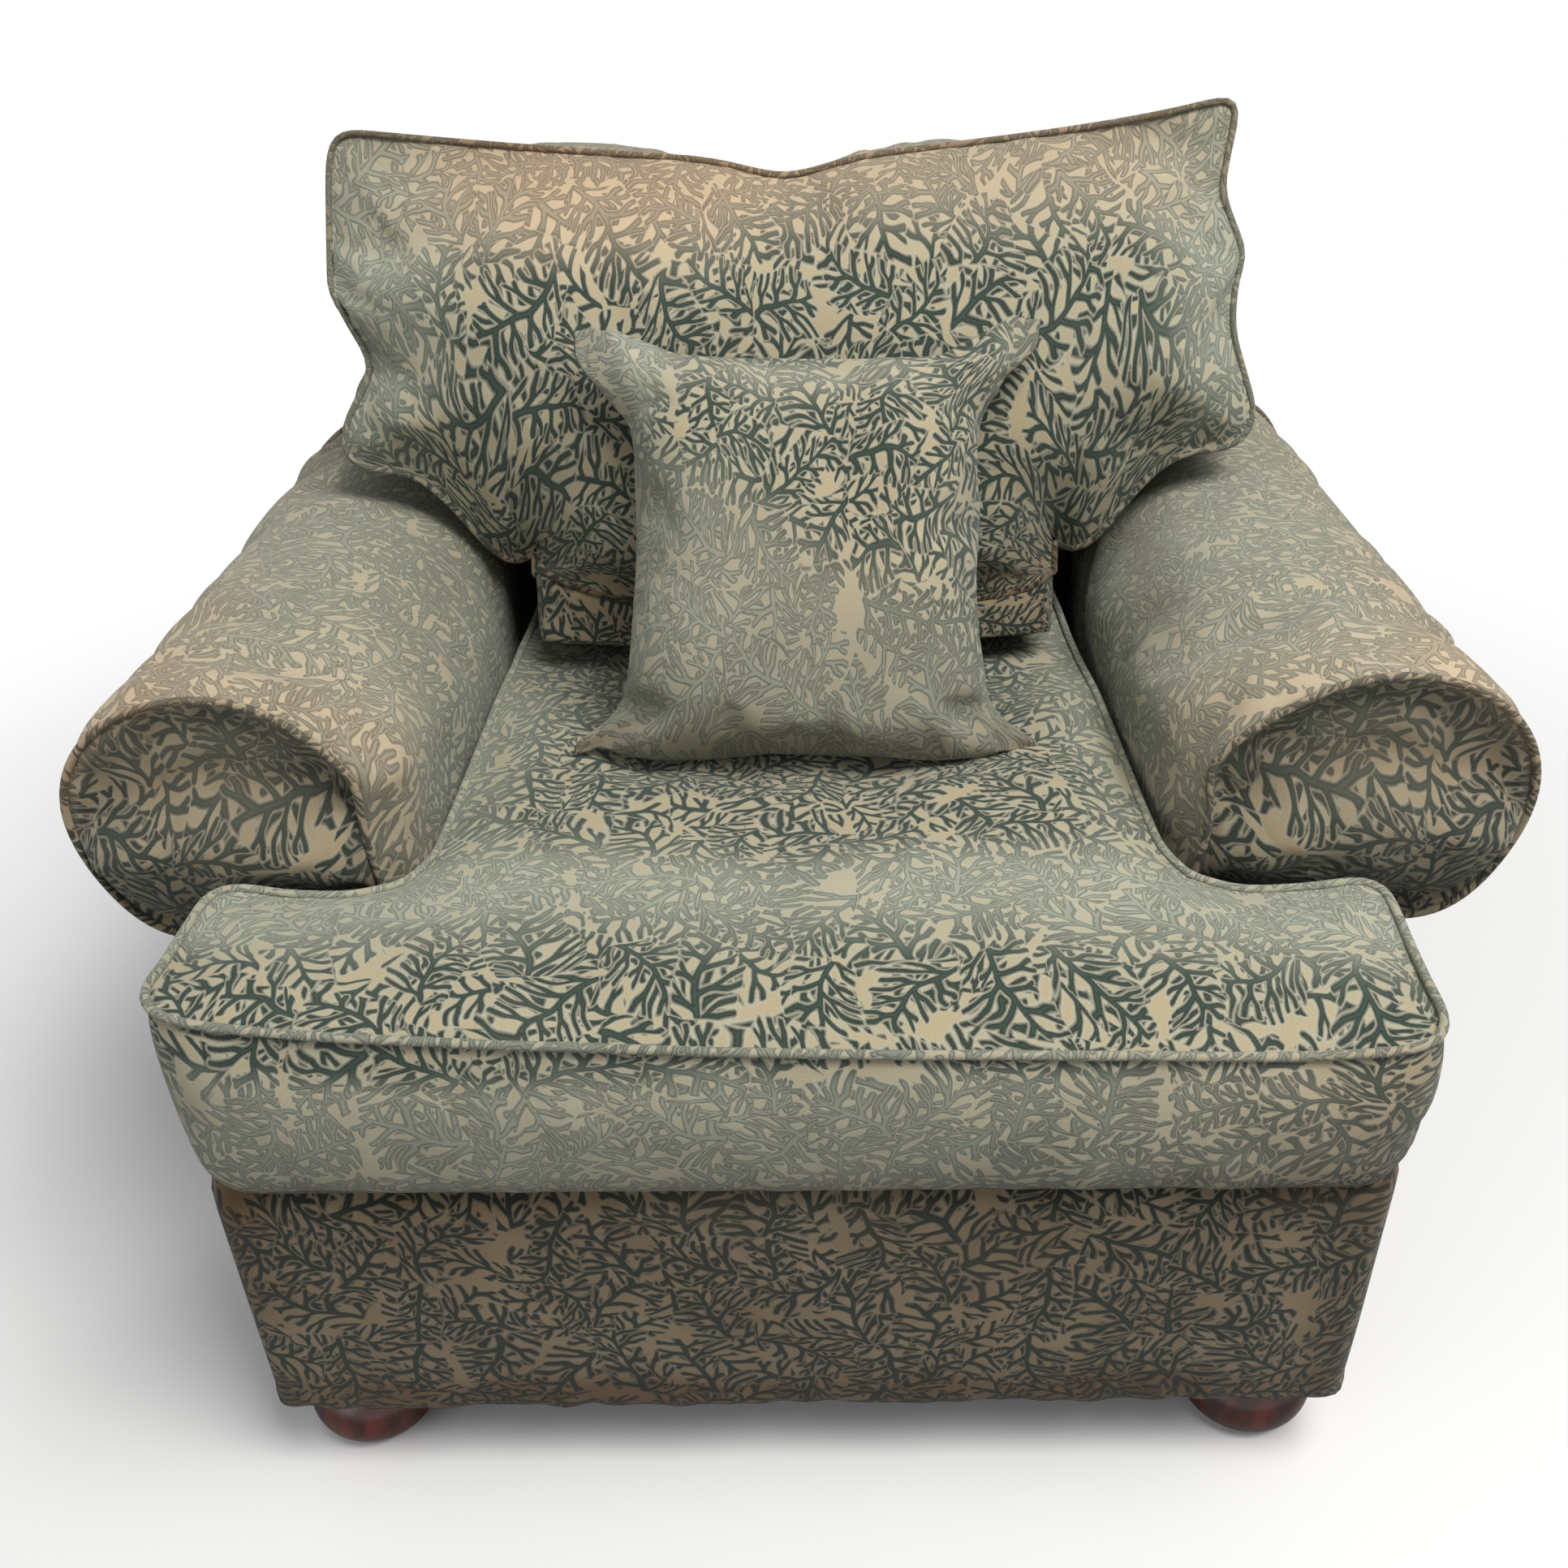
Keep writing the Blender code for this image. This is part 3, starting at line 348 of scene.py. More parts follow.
def signed_volume(points, faces):
    """Six times the volume inside closed faces: negative where they point inwards."""
    a, b, c, d = (points[faces[:, k]] for k in range(4))
    return float((np.cross(a, b) * c).sum() + (np.cross(a, c) * d).sum())


def grid_faces(index, closed=False):
    """Quads between neighbouring places of a two-dimensional array of point numbers."""
    if closed:
        index = np.concatenate([index, index[:, :1]], axis=1)
    corners = [index[:-1, :-1], index[:-1, 1:], index[1:, 1:], index[1:, :-1]]
    return np.stack(corners, -1).reshape(-1, 4)


def grid_map(places, closed_step=None):
    """The same quads' places on the cloth, from an array (rows, columns, 2)."""
    if closed_step is not None:
        places = np.concatenate([places, places[:, :1] + closed_step], axis=1)
    corners = [places[:-1, :-1], places[:-1, 1:], places[1:, 1:], places[1:, :-1]]
    return np.stack(corners, -2).reshape(-1, 4, 2)


def quad_fan(ring, centre):
    """Quads from a closed ring of point numbers to its middle point, with two of the ring's edges each."""
    even = np.arange(0, len(ring), 2)
    corners = [ring[(even + k) % len(ring)] for k in range(3)]
    return np.stack([*corners, np.full(len(even), centre)], -1)


def smooth_step(value, low, high):
    """Rises from 0 to 1 between low and high, level at both ends."""
    share = np.clip((value - low) / (high - low), 0, 1)
    return share * share * (3 - 2 * share)


def hill(value, centre, half_width):
    """A bump of height 1 round a centre."""
    return np.exp(-((value - centre) / half_width) ** 2)


def waves(a, b, size, seed, count=14):
    """Smooth irregular waves between about -1 and 1: sines in many directions, near one wavelength."""
    draw = np.random.default_rng(seed)
    angles = draw.uniform(0, 2 * np.pi, count)
    scales = 2 * np.pi / (size * draw.uniform(0.6, 1.5, count))
    phases = draw.uniform(0, 2 * np.pi, count)
    total = np.zeros(np.broadcast(a, b).shape)
    for angle, scale, phase in zip(angles, scales, phases):
        total += np.sin(scale * (a * math.cos(angle) + b * math.sin(angle)) + phase)
    return total / math.sqrt(count)


def declare(piece, slot, *nodes, fill=None):
    """Rides on the one body, as every piece here does, and hides the CAD nodes that it stands for; the slot
    is not used.
    """
    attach(piece, "root")
    if nodes:
        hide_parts(*nodes)
    print(piece.name, len(piece.data.polygons), "faces")


# %% [markdown]
# ## Boxed bodies
# The seat, the back, the panels and the deck are all sewn the same way: a front sheet, a back sheet and a
# band round them, along one outline that may be T-shaped. `boxed_layout` numbers the points of such a body
# once: a grid for each sheet, with the corners beside the narrow part left out, and rings for the band.
# Each piece then only says where its sheets and rings lie.

# %% Boxed layout
def boxed_layout(rows, columns, notch, narrow):
    """Point numbers and quads of a boxed body.

    Rows up to notch have all columns, and later rows have only the columns from narrow[0] to narrow[1].
    Returns which places of the grid are used, the quads, the points' numbers and the outline's places.
    """
    first, last = narrow
    used = np.zeros((rows, columns), bool)
    used[: notch + 1] = True
    used[:, first : last + 1] = True
    number = np.full((rows, columns), -1)
    number[used] = np.arange(used.sum())
    quads = grid_faces(number)
    r, c = np.mgrid[0 : rows - 1, 0 : columns - 1]
    kept = ((r < notch) | ((c >= first) & (c < last))).reshape(-1)
    top = rows - 1
    outline = [(0, k) for k in range(columns)]
    outline += [(k, columns - 1) for k in range(1, notch + 1)]
    outline += [(notch, k) for k in range(columns - 2, last - 1, -1)]
    outline += [(k, last) for k in range(notch + 1, top + 1)]
    outline += [(top, k) for k in range(last - 1, first - 1, -1)]
    outline += [(k, first) for k in range(top - 1, notch - 1, -1)]
    outline += [(notch, k) for k in range(first - 1, -1, -1)]
    outline += [(k, 0) for k in range(notch - 1, 0, -1)]
    outline = np.array(list(dict.fromkeys(outline)))
    return used, quads[kept], number, outline


def boxed_body(name, front, back, layout, bands, flat, band_width, worn_and_shaded, material, shift=(0.0, 0.0)):
    """A closed boxed body from its two sheets (rows, columns, 3) and its rings between their outlines.

    bands is (rings, outline, 3), flat the sheets' places on the cloth, and worn_and_shaded gives the shares
    of fading, grime and painted shade at points.
    """
    used, quads, number, outline = layout
    count, around = int(used.sum()), len(outline)
    edge = number[outline[:, 0], outline[:, 1]]
    rings = 2 * count + np.arange(len(bands) * around).reshape(len(bands), around)
    strip = np.concatenate([edge[None], rings, edge[None] + count])
    points = np.concatenate([front[used], back[used], bands.reshape(-1, 3)])
    faces = np.concatenate([quads, quads[:, ::-1] + count, grid_faces(strip, closed=True)])
    places = np.zeros((count, 2))
    places[:] = flat[used]
    seam = front[outline[:, 0], outline[:, 1]]
    steps = np.linalg.norm(np.roll(seam, -1, axis=0) - seam, axis=1)
    reach = np.concatenate([[0.0], np.cumsum(steps)[:-1]])
    rise = np.linspace(0, band_width, len(strip))
    band_places = np.stack(np.broadcast_arrays(reach[None, :] + 0.37, 1.9 - rise[:, None]), -1)
    cloth_map = np.concatenate([
        places[quads] + np.array(shift),
        places[quads[:, ::-1]] + np.array(shift) + np.array([3.1, 1.3]),
        grid_map(band_places + np.array(shift), closed_step=np.array([steps.sum(), 0.0])),
    ])
    piece = piece_from(name, points, faces, cloth_map, worn_and_shaded(points), material)
    return piece, edge, edge + count


def rings_between(front, back, outline, count):
    """That many rings at even steps between the outlines of two sheets: (count, outline, 3)."""
    level = np.linspace(0, 1, count + 2)[1:-1][:, None, None]
    return (1 - level) * front[outline[:, 0], outline[:, 1]] + level * back[outline[:, 0], outline[:, 1]]


def from_outline(x, y, outline):
    """How far each point of the plan is from the outline, measured to the outline's own points."""
    ring = np.stack([x, y], -1)[outline[:, 0], outline[:, 1]]
    ring = np.concatenate([ring, (ring + np.roll(ring, -1, axis=0)) / 2])
    flat = np.stack([x.reshape(-1), y.reshape(-1)], -1)
    gaps = np.sqrt(((flat[:, None] - ring[None]) ** 2).sum(-1)).min(1)
    return gaps.reshape(x.shape)


def outward(ring):
    """Level unit vectors that point out of a closed outline (n, 2)."""
    along = np.roll(ring, -1, axis=0) - np.roll(ring, 1, axis=0)
    normal = np.stack([along[:, 1], -along[:, 0]], -1)
    area = (ring[:, 0] * np.roll(ring[:, 1], -1) - ring[:, 1] * np.roll(ring[:, 0], -1)).sum()
    normal *= np.sign(area)
    return normal / np.maximum(np.linalg.norm(normal, axis=1, keepdims=True), 1e-9)


def round_corners(x, y, corner, radius):
    """Pulls the points near a square corner in, so that the outline turns it in an arc.

    corner is (x, y, sign of x outwards, sign of y outwards). The square between the corner and the arc's
    centre is squeezed into a quarter disc.
    """
    cx, cy, sx, sy = corner
    a = np.clip((sx * (x - cx) + radius) / radius, 0, None)
    b = np.clip((sy * (y - cy) + radius) / radius, 0, None)
    within = (a > 0) & (b > 0)
    ratio = np.where(within, np.maximum(a, b) / np.maximum(np.hypot(a, b), 1e-9), 1.0)
    new_x = np.where(within, cx + sx * (a * ratio - 1) * radius, x)
    new_y = np.where(within, cy + sy * (b * ratio - 1) * radius, y)
    return new_x, new_y


# %% [markdown]
# ## Stuffing
# Cloth simulation gives what formulas can't: folds that run from one place to another because the cloth has
# nowhere else to go. Each cushion's cloth is cut a few per cent larger than its stuffing, and pressure from
# inside pushes it out. Gravity is off, because the shapes already sag. No point may move further than a
# cap, so the cushion keeps the place that the frame gives it.

# %% Cloth simulation
def points_of(piece):
    """The piece's points as an array."""
    flat = np.empty(len(piece.data.vertices) * 3)
    piece.data.vertices.foreach_get("co", flat)
    return flat.reshape(-1, 3)


def stuff(piece, cap, slack=0.03, pressure=4.0, frames=18, held=None, seam=None, seam_pull=0.0):
    """Inflates the piece as cloth and caps each point's move. held are points that stay where they are."""
    mesh = piece.data
    start = points_of(piece)
    cloth = piece.modifiers.new("stuffing", "CLOTH")
    physics = cloth.settings
    physics.quality = 4
    physics.mass = 0.3
    physics.tension_stiffness = 15
    physics.compression_stiffness = 15
    physics.shear_stiffness = 5
    physics.bending_stiffness = 0.05
    physics.air_damping = 2.0
    physics.use_pressure = True
    physics.uniform_pressure_force = pressure
    physics.effector_weights.gravity = 0.0
    cloth.collision_settings.use_collision = False
    physics.shrink_min = -slack
    physics.shrink_max = seam_pull
    if seam is not None:
        group = piece.vertex_groups.new(name="seam")
        group.add([int(k) for k in seam], 1.0, "REPLACE")
        physics.vertex_group_shrink = "seam"
    if held is not None:
        pins = piece.vertex_groups.new(name="held")
        pins.add([int(k) for k in held], 1.0, "REPLACE")
        physics.vertex_group_mass = "held"
    scene.frame_start, scene.frame_end = 1, frames
    cloth.point_cache.frame_start, cloth.point_cache.frame_end = 1, frames
    for number in range(1, frames + 1):
        scene.frame_set(number)
    graph = bpy.context.evaluated_depsgraph_get()
    settled = piece.evaluated_get(graph).to_mesh()
    moved = np.empty(len(mesh.vertices) * 3)
    settled.vertices.foreach_get("co", moved)
    piece.modifiers.remove(cloth)
    piece.vertex_groups.clear()
    shift = moved.reshape(-1, 3) - start
    reach = np.linalg.norm(shift, axis=1, keepdims=True)
    limit = cap * np.tanh(reach / cap) / np.maximum(reach, 1e-9)
    mesh.vertices.foreach_set("co", (start + shift * limit).reshape(-1))
    mesh.update()
    scene.frame_set(1)
    print(f"{piece.name}: moved up to {1000 * reach.max():.0f} mm, kept {1000 * cap:.0f} mm")


def subdivide(piece, seams=()):
    """One live subdivision, also in the render. Seams, which are loops of points, stay sharp."""
    if len(seams):
        ends = np.empty(len(piece.data.edges) * 2, int)
        piece.data.edges.foreach_get("vertices", ends)
        ends = np.sort(ends.reshape(-1, 2), axis=1)
        sewn = np.concatenate([np.stack([loop, np.roll(loop, -1)], -1) for loop in seams])
        sewn = np.sort(sewn, axis=1)
        count = len(piece.data.vertices)
        sharp = np.isin(ends[:, 0] * count + ends[:, 1], sewn[:, 0] * count + sewn[:, 1])
        creases = piece.data.attributes.new("crease_edge", "FLOAT", "EDGE")
        creases.data.foreach_set("value", 0.9 * sharp.astype(np.float32))
    modifier = piece.modifiers.new("fine", "SUBSURF")
    modifier.levels = 1
    modifier.render_levels = 1


# %% [markdown]
# ## Welts
# The seams of the seat and back cushions and of the arms' ends have a thin welt: a strip of the same cloth
# sewn round a string. It is a circle carried along the seam's points.

# %% Welt
def softened(lines, axis=0):
    """Averages each point of closed lines with its two neighbours, twice over."""
    for _ in range(2):
        lines = (np.roll(lines, 1, axis=axis) + 2 * lines + np.roll(lines, -1, axis=axis)) / 4
    return lines


def tube(path, radius, sides=10):
    """A circle carried along a closed path: points (n, sides, 3).

    Each circle is square to the path and starts from the normal of the plane that lies nearest to the path,
    so that it never flips over on the way round.
    """
    along = np.roll(path, -1, axis=0) - np.roll(path, 1, axis=0)
    along /= np.maximum(np.linalg.norm(along, axis=1, keepdims=True), 1e-9)
    normal = np.linalg.svd(path - path.mean(0), full_matrices=False)[2][-1]
    first = np.cross(along, normal)
    first /= np.linalg.norm(first, axis=1, keepdims=True)
    second = np.cross(along, first)
    turns = np.linspace(0, 2 * np.pi, sides, endpoint=False)
    spokes = first[:, None] * np.cos(turns)[None, :, None] + second[:, None] * np.sin(turns)[None, :, None]
    return path[:, None] + radius * spokes


def welt(name, path, worn_and_shaded, slot, radius=0.0034, shift=0.0, rub_and_shade=(0.55, 0.12)):
    """A welt along a closed path, its cloth on the bias. rub_and_shade adds to the fade and to the third
    share:
    on the seat it is rubbing and some grime, on the back grime and painted shade, on the arms painted shade.
    """
    rings = tube(path, radius)
    count, sides = rings.shape[:2]
    index = np.arange(count * sides).reshape(count, sides)
    steps = np.linalg.norm(np.roll(path, -1, axis=0) - path, axis=1)
    reach = np.concatenate([[0.0], np.cumsum(steps)[:-1]])
    strip_width, bias = 2 * np.pi * 0.0034, 0.6
    girth = np.linspace(0, strip_width, sides, endpoint=False)
    places = np.stack(np.broadcast_arrays(reach[:, None] + shift, girth[None] + reach[:, None] * bias), -1)
    step = np.array([0.0, strip_width])
    join = np.stack([index[-1], np.roll(index[-1], -1), np.roll(index[0], -1), index[0]], -1)
    last = grid_map(np.stack([places[-1], places[-1] + [steps[-1], 0.0]]), closed_step=step)
    faces = np.concatenate([grid_faces(index, closed=True), join])
    cloth_map = np.concatenate([grid_map(places, closed_step=step), last])
    points = rings.reshape(-1, 3)
    shares = np.clip(worn_and_shaded(points) * [0.6, 1.0, 1.0] + [rub_and_shade[0], 0.0, rub_and_shade[1]], 0, 1)
    declare(piece_from(name, points, faces, cloth_map, shares, coral_cloth), slot)


# %% [markdown]
# ## The seat cushion
# The seat is a boxed cushion with a T-shaped plan, whose ears stand in front of the arms. Years of sitting
# have spread it: the front band leans out, the left front edge stands higher than the right one, and the
# middle has sunk. The plan is a grid, the crown is a function of the distance to the seam, and the wear
# falls where knees and hands were.

# %% Seat plan
def t_columns(ear_cells, inner_cells, ear, inner):
    """Places across of every grid line, for each row's half widths: ears outside, the narrow part between."""
    share = np.linspace(0, 1, ear_cells + 1)[:-1]
    left = -(ear[:, None] + (inner - ear)[:, None] * share)
    middle = inner[:, None] * np.linspace(-1, 1, inner_cells + 1)
    return np.concatenate([left, middle, -left[:, ::-1]], axis=1)


def rows_between(first, notch, last, near_cells, far_cells):
    """Places of the rows, from the first to the notch and on to the last."""
    near = np.linspace(first, notch, near_cells + 1)
    return np.concatenate([near, np.linspace(notch, last, far_cells + 1)[1:]])


arm_front, arm_back = -0.244, 0.414
rake = math.tan(math.radians(5.6))
rake_from = 0.335
seat_floor = 0.3362
seat_thickness = 0.162
seat_front, seat_notch, seat_rear = -0.456, -0.288, 0.250
seat_ear = 0.440
near_cells, far_cells, ear_cells, inner_cells = 17, 54, 16, 54


def seat_half(y):
    """Half the width that the arms leave for the seat at depth y."""
    return 0.280 - 0.024 * np.clip((y - arm_front) / 0.617, 0, 1)


def fill_notch(x, y, side, corner_x, corner_y, radius):
    """Moves the points near the notch's inner corner diagonally into it, so that the outline turns softly."""
    near = 1 - np.clip(np.maximum(np.abs(side * x - corner_x), np.abs(y - corner_y)) / radius, 0, 1)
    push = radius * (1 - math.sqrt(0.5)) * near ** 1.4
    return x + side * push, y + push


seat_rows = rows_between(seat_front, seat_notch, seat_rear, near_cells, far_cells)
seat_x = t_columns(ear_cells, inner_cells, np.full(len(seat_rows), seat_ear), seat_half(seat_rows))
seat_y = np.broadcast_to(seat_rows[:, None], seat_x.shape).copy()
seat_layout = boxed_layout(*seat_x.shape, near_cells, (ear_cells, ear_cells + inner_cells))
for side in (-1, 1):
    seat_x, seat_y = round_corners(seat_x, seat_y, (side * seat_ear, seat_front, side, -1), 0.035)
    seat_x, seat_y = round_corners(seat_x, seat_y, (side * seat_ear, seat_notch, side, 1), 0.022)
    seat_x, seat_y = fill_notch(seat_x, seat_y, side, 0.281, seat_notch, 0.060)
print("seat grid", seat_x.shape, "outline", len(seat_layout[3]))

# %% Seat surfaces
def seat_top(x, y, from_seam):
    """Height of the top sheet: the seam's height, a crown that rises from the seam, and the sat-in dips."""
    tilt = (0.006 * (x / seat_ear) ** 2 - 0.020 * x / seat_ear) * (1 - smooth_step(y, seat_front, -0.20))
    seam = seat_floor + seat_thickness + tilt
    crown = 0.026 * (1 - (1 - np.clip(from_seam / 0.13, 0, 1)) ** 2.6) * (1 - smooth_step(y, -0.10, 0.10))
    crown = crown * (1 - 0.4 * smooth_step(-x, 0.15, 0.40))
    sat_in = 0.012 * hill(x, 0.0, 0.17) * hill(y, -0.16, 0.12)
    knees = 0.006 * hill(x, 0.30, 0.10) * hill(y, -0.36, 0.07)
    knees = knees + 0.004 * hill(x, -0.20, 0.10) * hill(y, -0.36, 0.07)
    under_small = 0.018 * smooth_step(y, -0.18, -0.10) * (1 - smooth_step(y, 0.0, 0.1))
    pressed = 0.010 * smooth_step(y, -0.02, 0.12)
    pressed = pressed + under_small * (1 - smooth_step(np.abs(x - 0.01), 0.15, 0.24))
    crumpled = 0.0016 * waves(x, y, 0.11, 3) * np.clip(from_seam / 0.02, 0, 1)
    return seam + crown - sat_in - knees - pressed + crumpled


def seat_wear(points):
    """Fade, tan and soil of the seat cushion."""
    x, y, z = points.T
    top = smooth_step(z, 0.470, 0.495)
    pale_band = hill(y, -0.305, 0.052) * (0.60 + 0.40 * np.clip(np.abs(x) / 0.3, 0, 1))
    ears = smooth_step(np.abs(x), 0.26, 0.42) * hill(y, -0.31, 0.07)
    centre = hill(x, 0.05, 0.20) * hill(y, -0.17, 0.09)
    sides = smooth_step(np.abs(x), 0.17, 0.27) * smooth_step(y, -0.30, -0.15)
    strong_front = smooth_step(-y, 0.370, 0.410)
    fade_top = 0.24 + 0.84 * pale_band + 0.30 * ears + 0.40 * sides - 0.40 * centre - 0.16 * strong_front
    fade_top = np.clip(fade_top, 0, 1)
    front = smooth_step(-y, 0.43, 0.455)
    fade_band = 0.50 + 0.30 * hill(x, -0.15, 0.30) - 0.25 * smooth_step(x, 0.25, 0.42)
    fade = top * fade_top + (1 - top) * fade_band
    tan = 0.10 * centre + (1 - top) * (0.10 + 0.25 * smooth_step(x, 0.15, 0.42)) * front
    soil_and_shade = (1 - top) * (0.75 * smooth_step(0.400 - z, 0.0, 0.06) + 0.35 * smooth_step(x, 0.30, 0.44))
    soil_and_shade = soil_and_shade + (1 - top) * 0.8 * smooth_step(-x, 0.425, 0.45)
    return np.stack([fade, tan, soil_and_shade], -1)


seam_gap = from_outline(seat_x, seat_y, seat_layout[3])
seat_front_sheet = np.stack([seat_x, seat_y, seat_top(seat_x, seat_y, seam_gap)], -1)
seat_dip = 0.012 * hill(seat_x, 0, 0.18) * hill(seat_y, 0.0, 0.16)
curl_up = (0.010 - 0.005 * seat_x / seat_ear) * smooth_step(-seat_y, 0.395, 0.450)
under_x = seat_x - 0.016 * np.sign(seat_x) * smooth_step(np.abs(seat_x), 0.36, seat_ear)
under_y = seat_y + 0.011 * smooth_step(-seat_y, 0.40, -seat_front)
seat_back_sheet = np.stack([under_x, under_y, seat_floor - seat_dip + curl_up], -1)
outline = seat_layout[3]
ring = np.stack([seat_x, seat_y], -1)[outline[:, 0], outline[:, 1]]
free = 1 - 0.75 * smooth_step(ring[:, 1], -0.300, -0.280)
level = np.linspace(0, 1, 9)[1:-1][:, None]
seat_rings = rings_between(seat_front_sheet, seat_back_sheet, outline, len(level))
reach = np.cumsum(np.linalg.norm(ring - np.roll(ring, 1, axis=0), axis=1))[None]
puckers = 0.0030 * waves(reach, level * 0.06, 0.050, 8) * level ** 1.3
bulge = 0.0100 * np.sin(np.pi * level ** 0.9) ** 0.7 + 0.012 * level ** 2 * (1 - level) + puckers
seat_rings[..., :2] += (bulge * free[None])[..., None] * outward(ring)[None]
seat, seat_seam, seat_under = boxed_body(
    "seat_cover", seat_front_sheet, seat_back_sheet, seat_layout, seat_rings,
    np.stack([seat_x, seat_y], -1), seat_thickness, seat_wear, coral_cloth)
under = np.arange(seat_seam.max() + 1, 2 * (seat_seam.max() + 1))
stuff(seat, 0.010, slack=0.035, held=under, seam=np.concatenate([seat_seam, seat_under]), seam_pull=0.01)
declare(seat, "worn_cloth", "seat_cushion", fill=0.55)

# %% Seat welts
for name, numbers, lift in (("seat_welt_top", seat_seam, 0.0015), ("seat_welt_bottom", seat_under, -0.0010)):
    path = softened(points_of(seat)[numbers])
    path[:, :2] += (0.0015 if lift > 0 else -0.004) * outward(path[:, :2])
    path[:, 2] += lift
    welt(name, path, seat_wear, "worn_cloth", shift=0.7)
subdivide(seat, seams=[seat_seam, seat_under])

# %% [markdown]
# ## The back cushion
# A feather cushion: its cover is a boxed T standing on its stem, with wings that hang over the arms.
# Feathers sink, so it is thin at the top, where two soft horns are left at the corners, and fat at the
# bottom. Its outline is a table of half widths by height, smoothed, and its belly is again a function of
# the distance to the seam.

# %% Back cushion surfaces
back_foot, back_rise = 0.500, 0.430
wing_from, wing_base, stem_half = 0.345, 0.426, 0.250
wing_cells, stem_cells, ear_cells, inner_cells = 30, 17, 17, 54


def table(value, places, heights, pad=16):
    """Reads a table between its places and rounds off its corners by averaging over pad steps each way."""
    fine = np.linspace(min(places), max(places), 400)
    read = np.interp(fine, places, heights)
    kernel = np.hanning(2 * pad + 1)
    read = np.convolve(np.pad(read, pad, mode="edge"), kernel / kernel.sum(), mode="valid")
    return np.interp(value, fine, read)


up_share = rows_between(1.0, wing_from, 0.0, wing_cells, stem_cells)
left_half = table(up_share, (0.0, wing_from, 0.42, 0.54, 0.66, 0.90, 1.0),
                  (0.426, 0.426, 0.428, 0.388, 0.416, 0.410, 0.406))
right_half = table(up_share, (0.0, wing_from, 0.42, 0.57, 0.70, 0.84, 0.95, 1.0),
                   (0.430, 0.430, 0.436, 0.414, 0.414, 0.386, 0.396, 0.404))
even_half = np.ones(len(up_share))
back_x = t_columns(ear_cells, inner_cells, wing_base * even_half, stem_half * even_half)
half = np.where(back_x < 0, left_half[:, None], right_half[:, None])
ear = np.clip((np.abs(back_x) - stem_half) / (wing_base - stem_half), 0, 1)
back_x = np.sign(back_x) * (np.minimum(np.abs(back_x), stem_half) + ear * (half - stem_half))
back_s = np.broadcast_to(up_share[:, None], back_x.shape).copy()
back_layout = boxed_layout(*back_x.shape, wing_cells, (ear_cells, ear_cells + inner_cells))
print("back grid", back_x.shape)


def back_height(x, s):
    """Height of a point of the back cushion.

    The rows are straight, but the top edge dips between its corners, and the rows at the foot of the wings
    follow the arms' rolls down to the narrow part.
    """
    dip = -0.036 * (1 - np.clip(np.abs(x) / 0.41, 0, 1) ** 1.3) - 0.012 * hill(x, 0.0, 0.05)
    horn = 0.010 * np.clip(x / 0.404, 0, None) ** 6 - 0.004
    straight = back_foot + back_rise * s + (dip + horn) * s ** 5
    sunk = 0.098 * hill(np.abs(x), 0.272, 0.058)
    above = sunk * (1 - smooth_step(s, wing_from, 0.80))
    share = np.clip(s / wing_from, 0, 1)
    return np.where(s >= wing_from, straight - above, straight - sunk * share)


def back_rest(z):
    """Depth of the cushion's rear, just in front of the padded back."""
    return 0.3175 + (z - rake_from) * rake


z_line = back_height(back_x, back_s)
for side, last in ((-1, 0), (1, -1)):
    for row, turned, radius in ((0, 1, 0.020), (wing_cells, -1, 0.030)):
        corner = (back_x[row, last], z_line[row, last], side, turned)
        back_x, z_line = round_corners(back_x, z_line, corner, radius)
    back_x, z_line = round_corners(back_x, z_line, (side * stem_half, back_foot, side, -1), 0.025)
seam_gap = from_outline(back_x, z_line, back_layout[3])
thickness = 0.262 - 0.160 * back_s ** 0.9
belly = 0.072 * np.sin(np.pi * (back_s * 0.86 + 0.09)) ** 0.8
belly = belly * (1 - (1 - np.clip(seam_gap / 0.17, 0, 1)) ** 2.4)
folds = 0.0030 * waves(back_x, z_line * 1.4, 0.13, 21) * np.clip(seam_gap / 0.03, 0, 1)
pull = 0.006 * hill(back_x + 0.55 * (z_line - 0.70), -0.10, 0.025) * hill(z_line, 0.72, 0.10)
front_y = back_rest(z_line) - thickness - belly - folds + pull
low = 1 - smooth_step(back_s, 0.0, 0.30)
lifted = (0.020 + np.where(back_x < 0, 0.044, 0.020) * (np.abs(back_x) / stem_half) ** 2.5) * low
lifted = np.minimum(lifted, 0.020 + 0.046 * low)
front_y = front_y + 0.022 * (back_x / stem_half) ** 2 * low
back_front_sheet = np.stack([back_x, front_y, z_line + lifted * (1 - back_s / 0.40)], -1)
rear_z = z_line - 0.034 * smooth_step(back_s, 0.80, 1.0)
back_back_sheet = np.stack([back_x, back_rest(z_line) - 0.004 * hill(seam_gap, 0, 0.02), rear_z], -1)


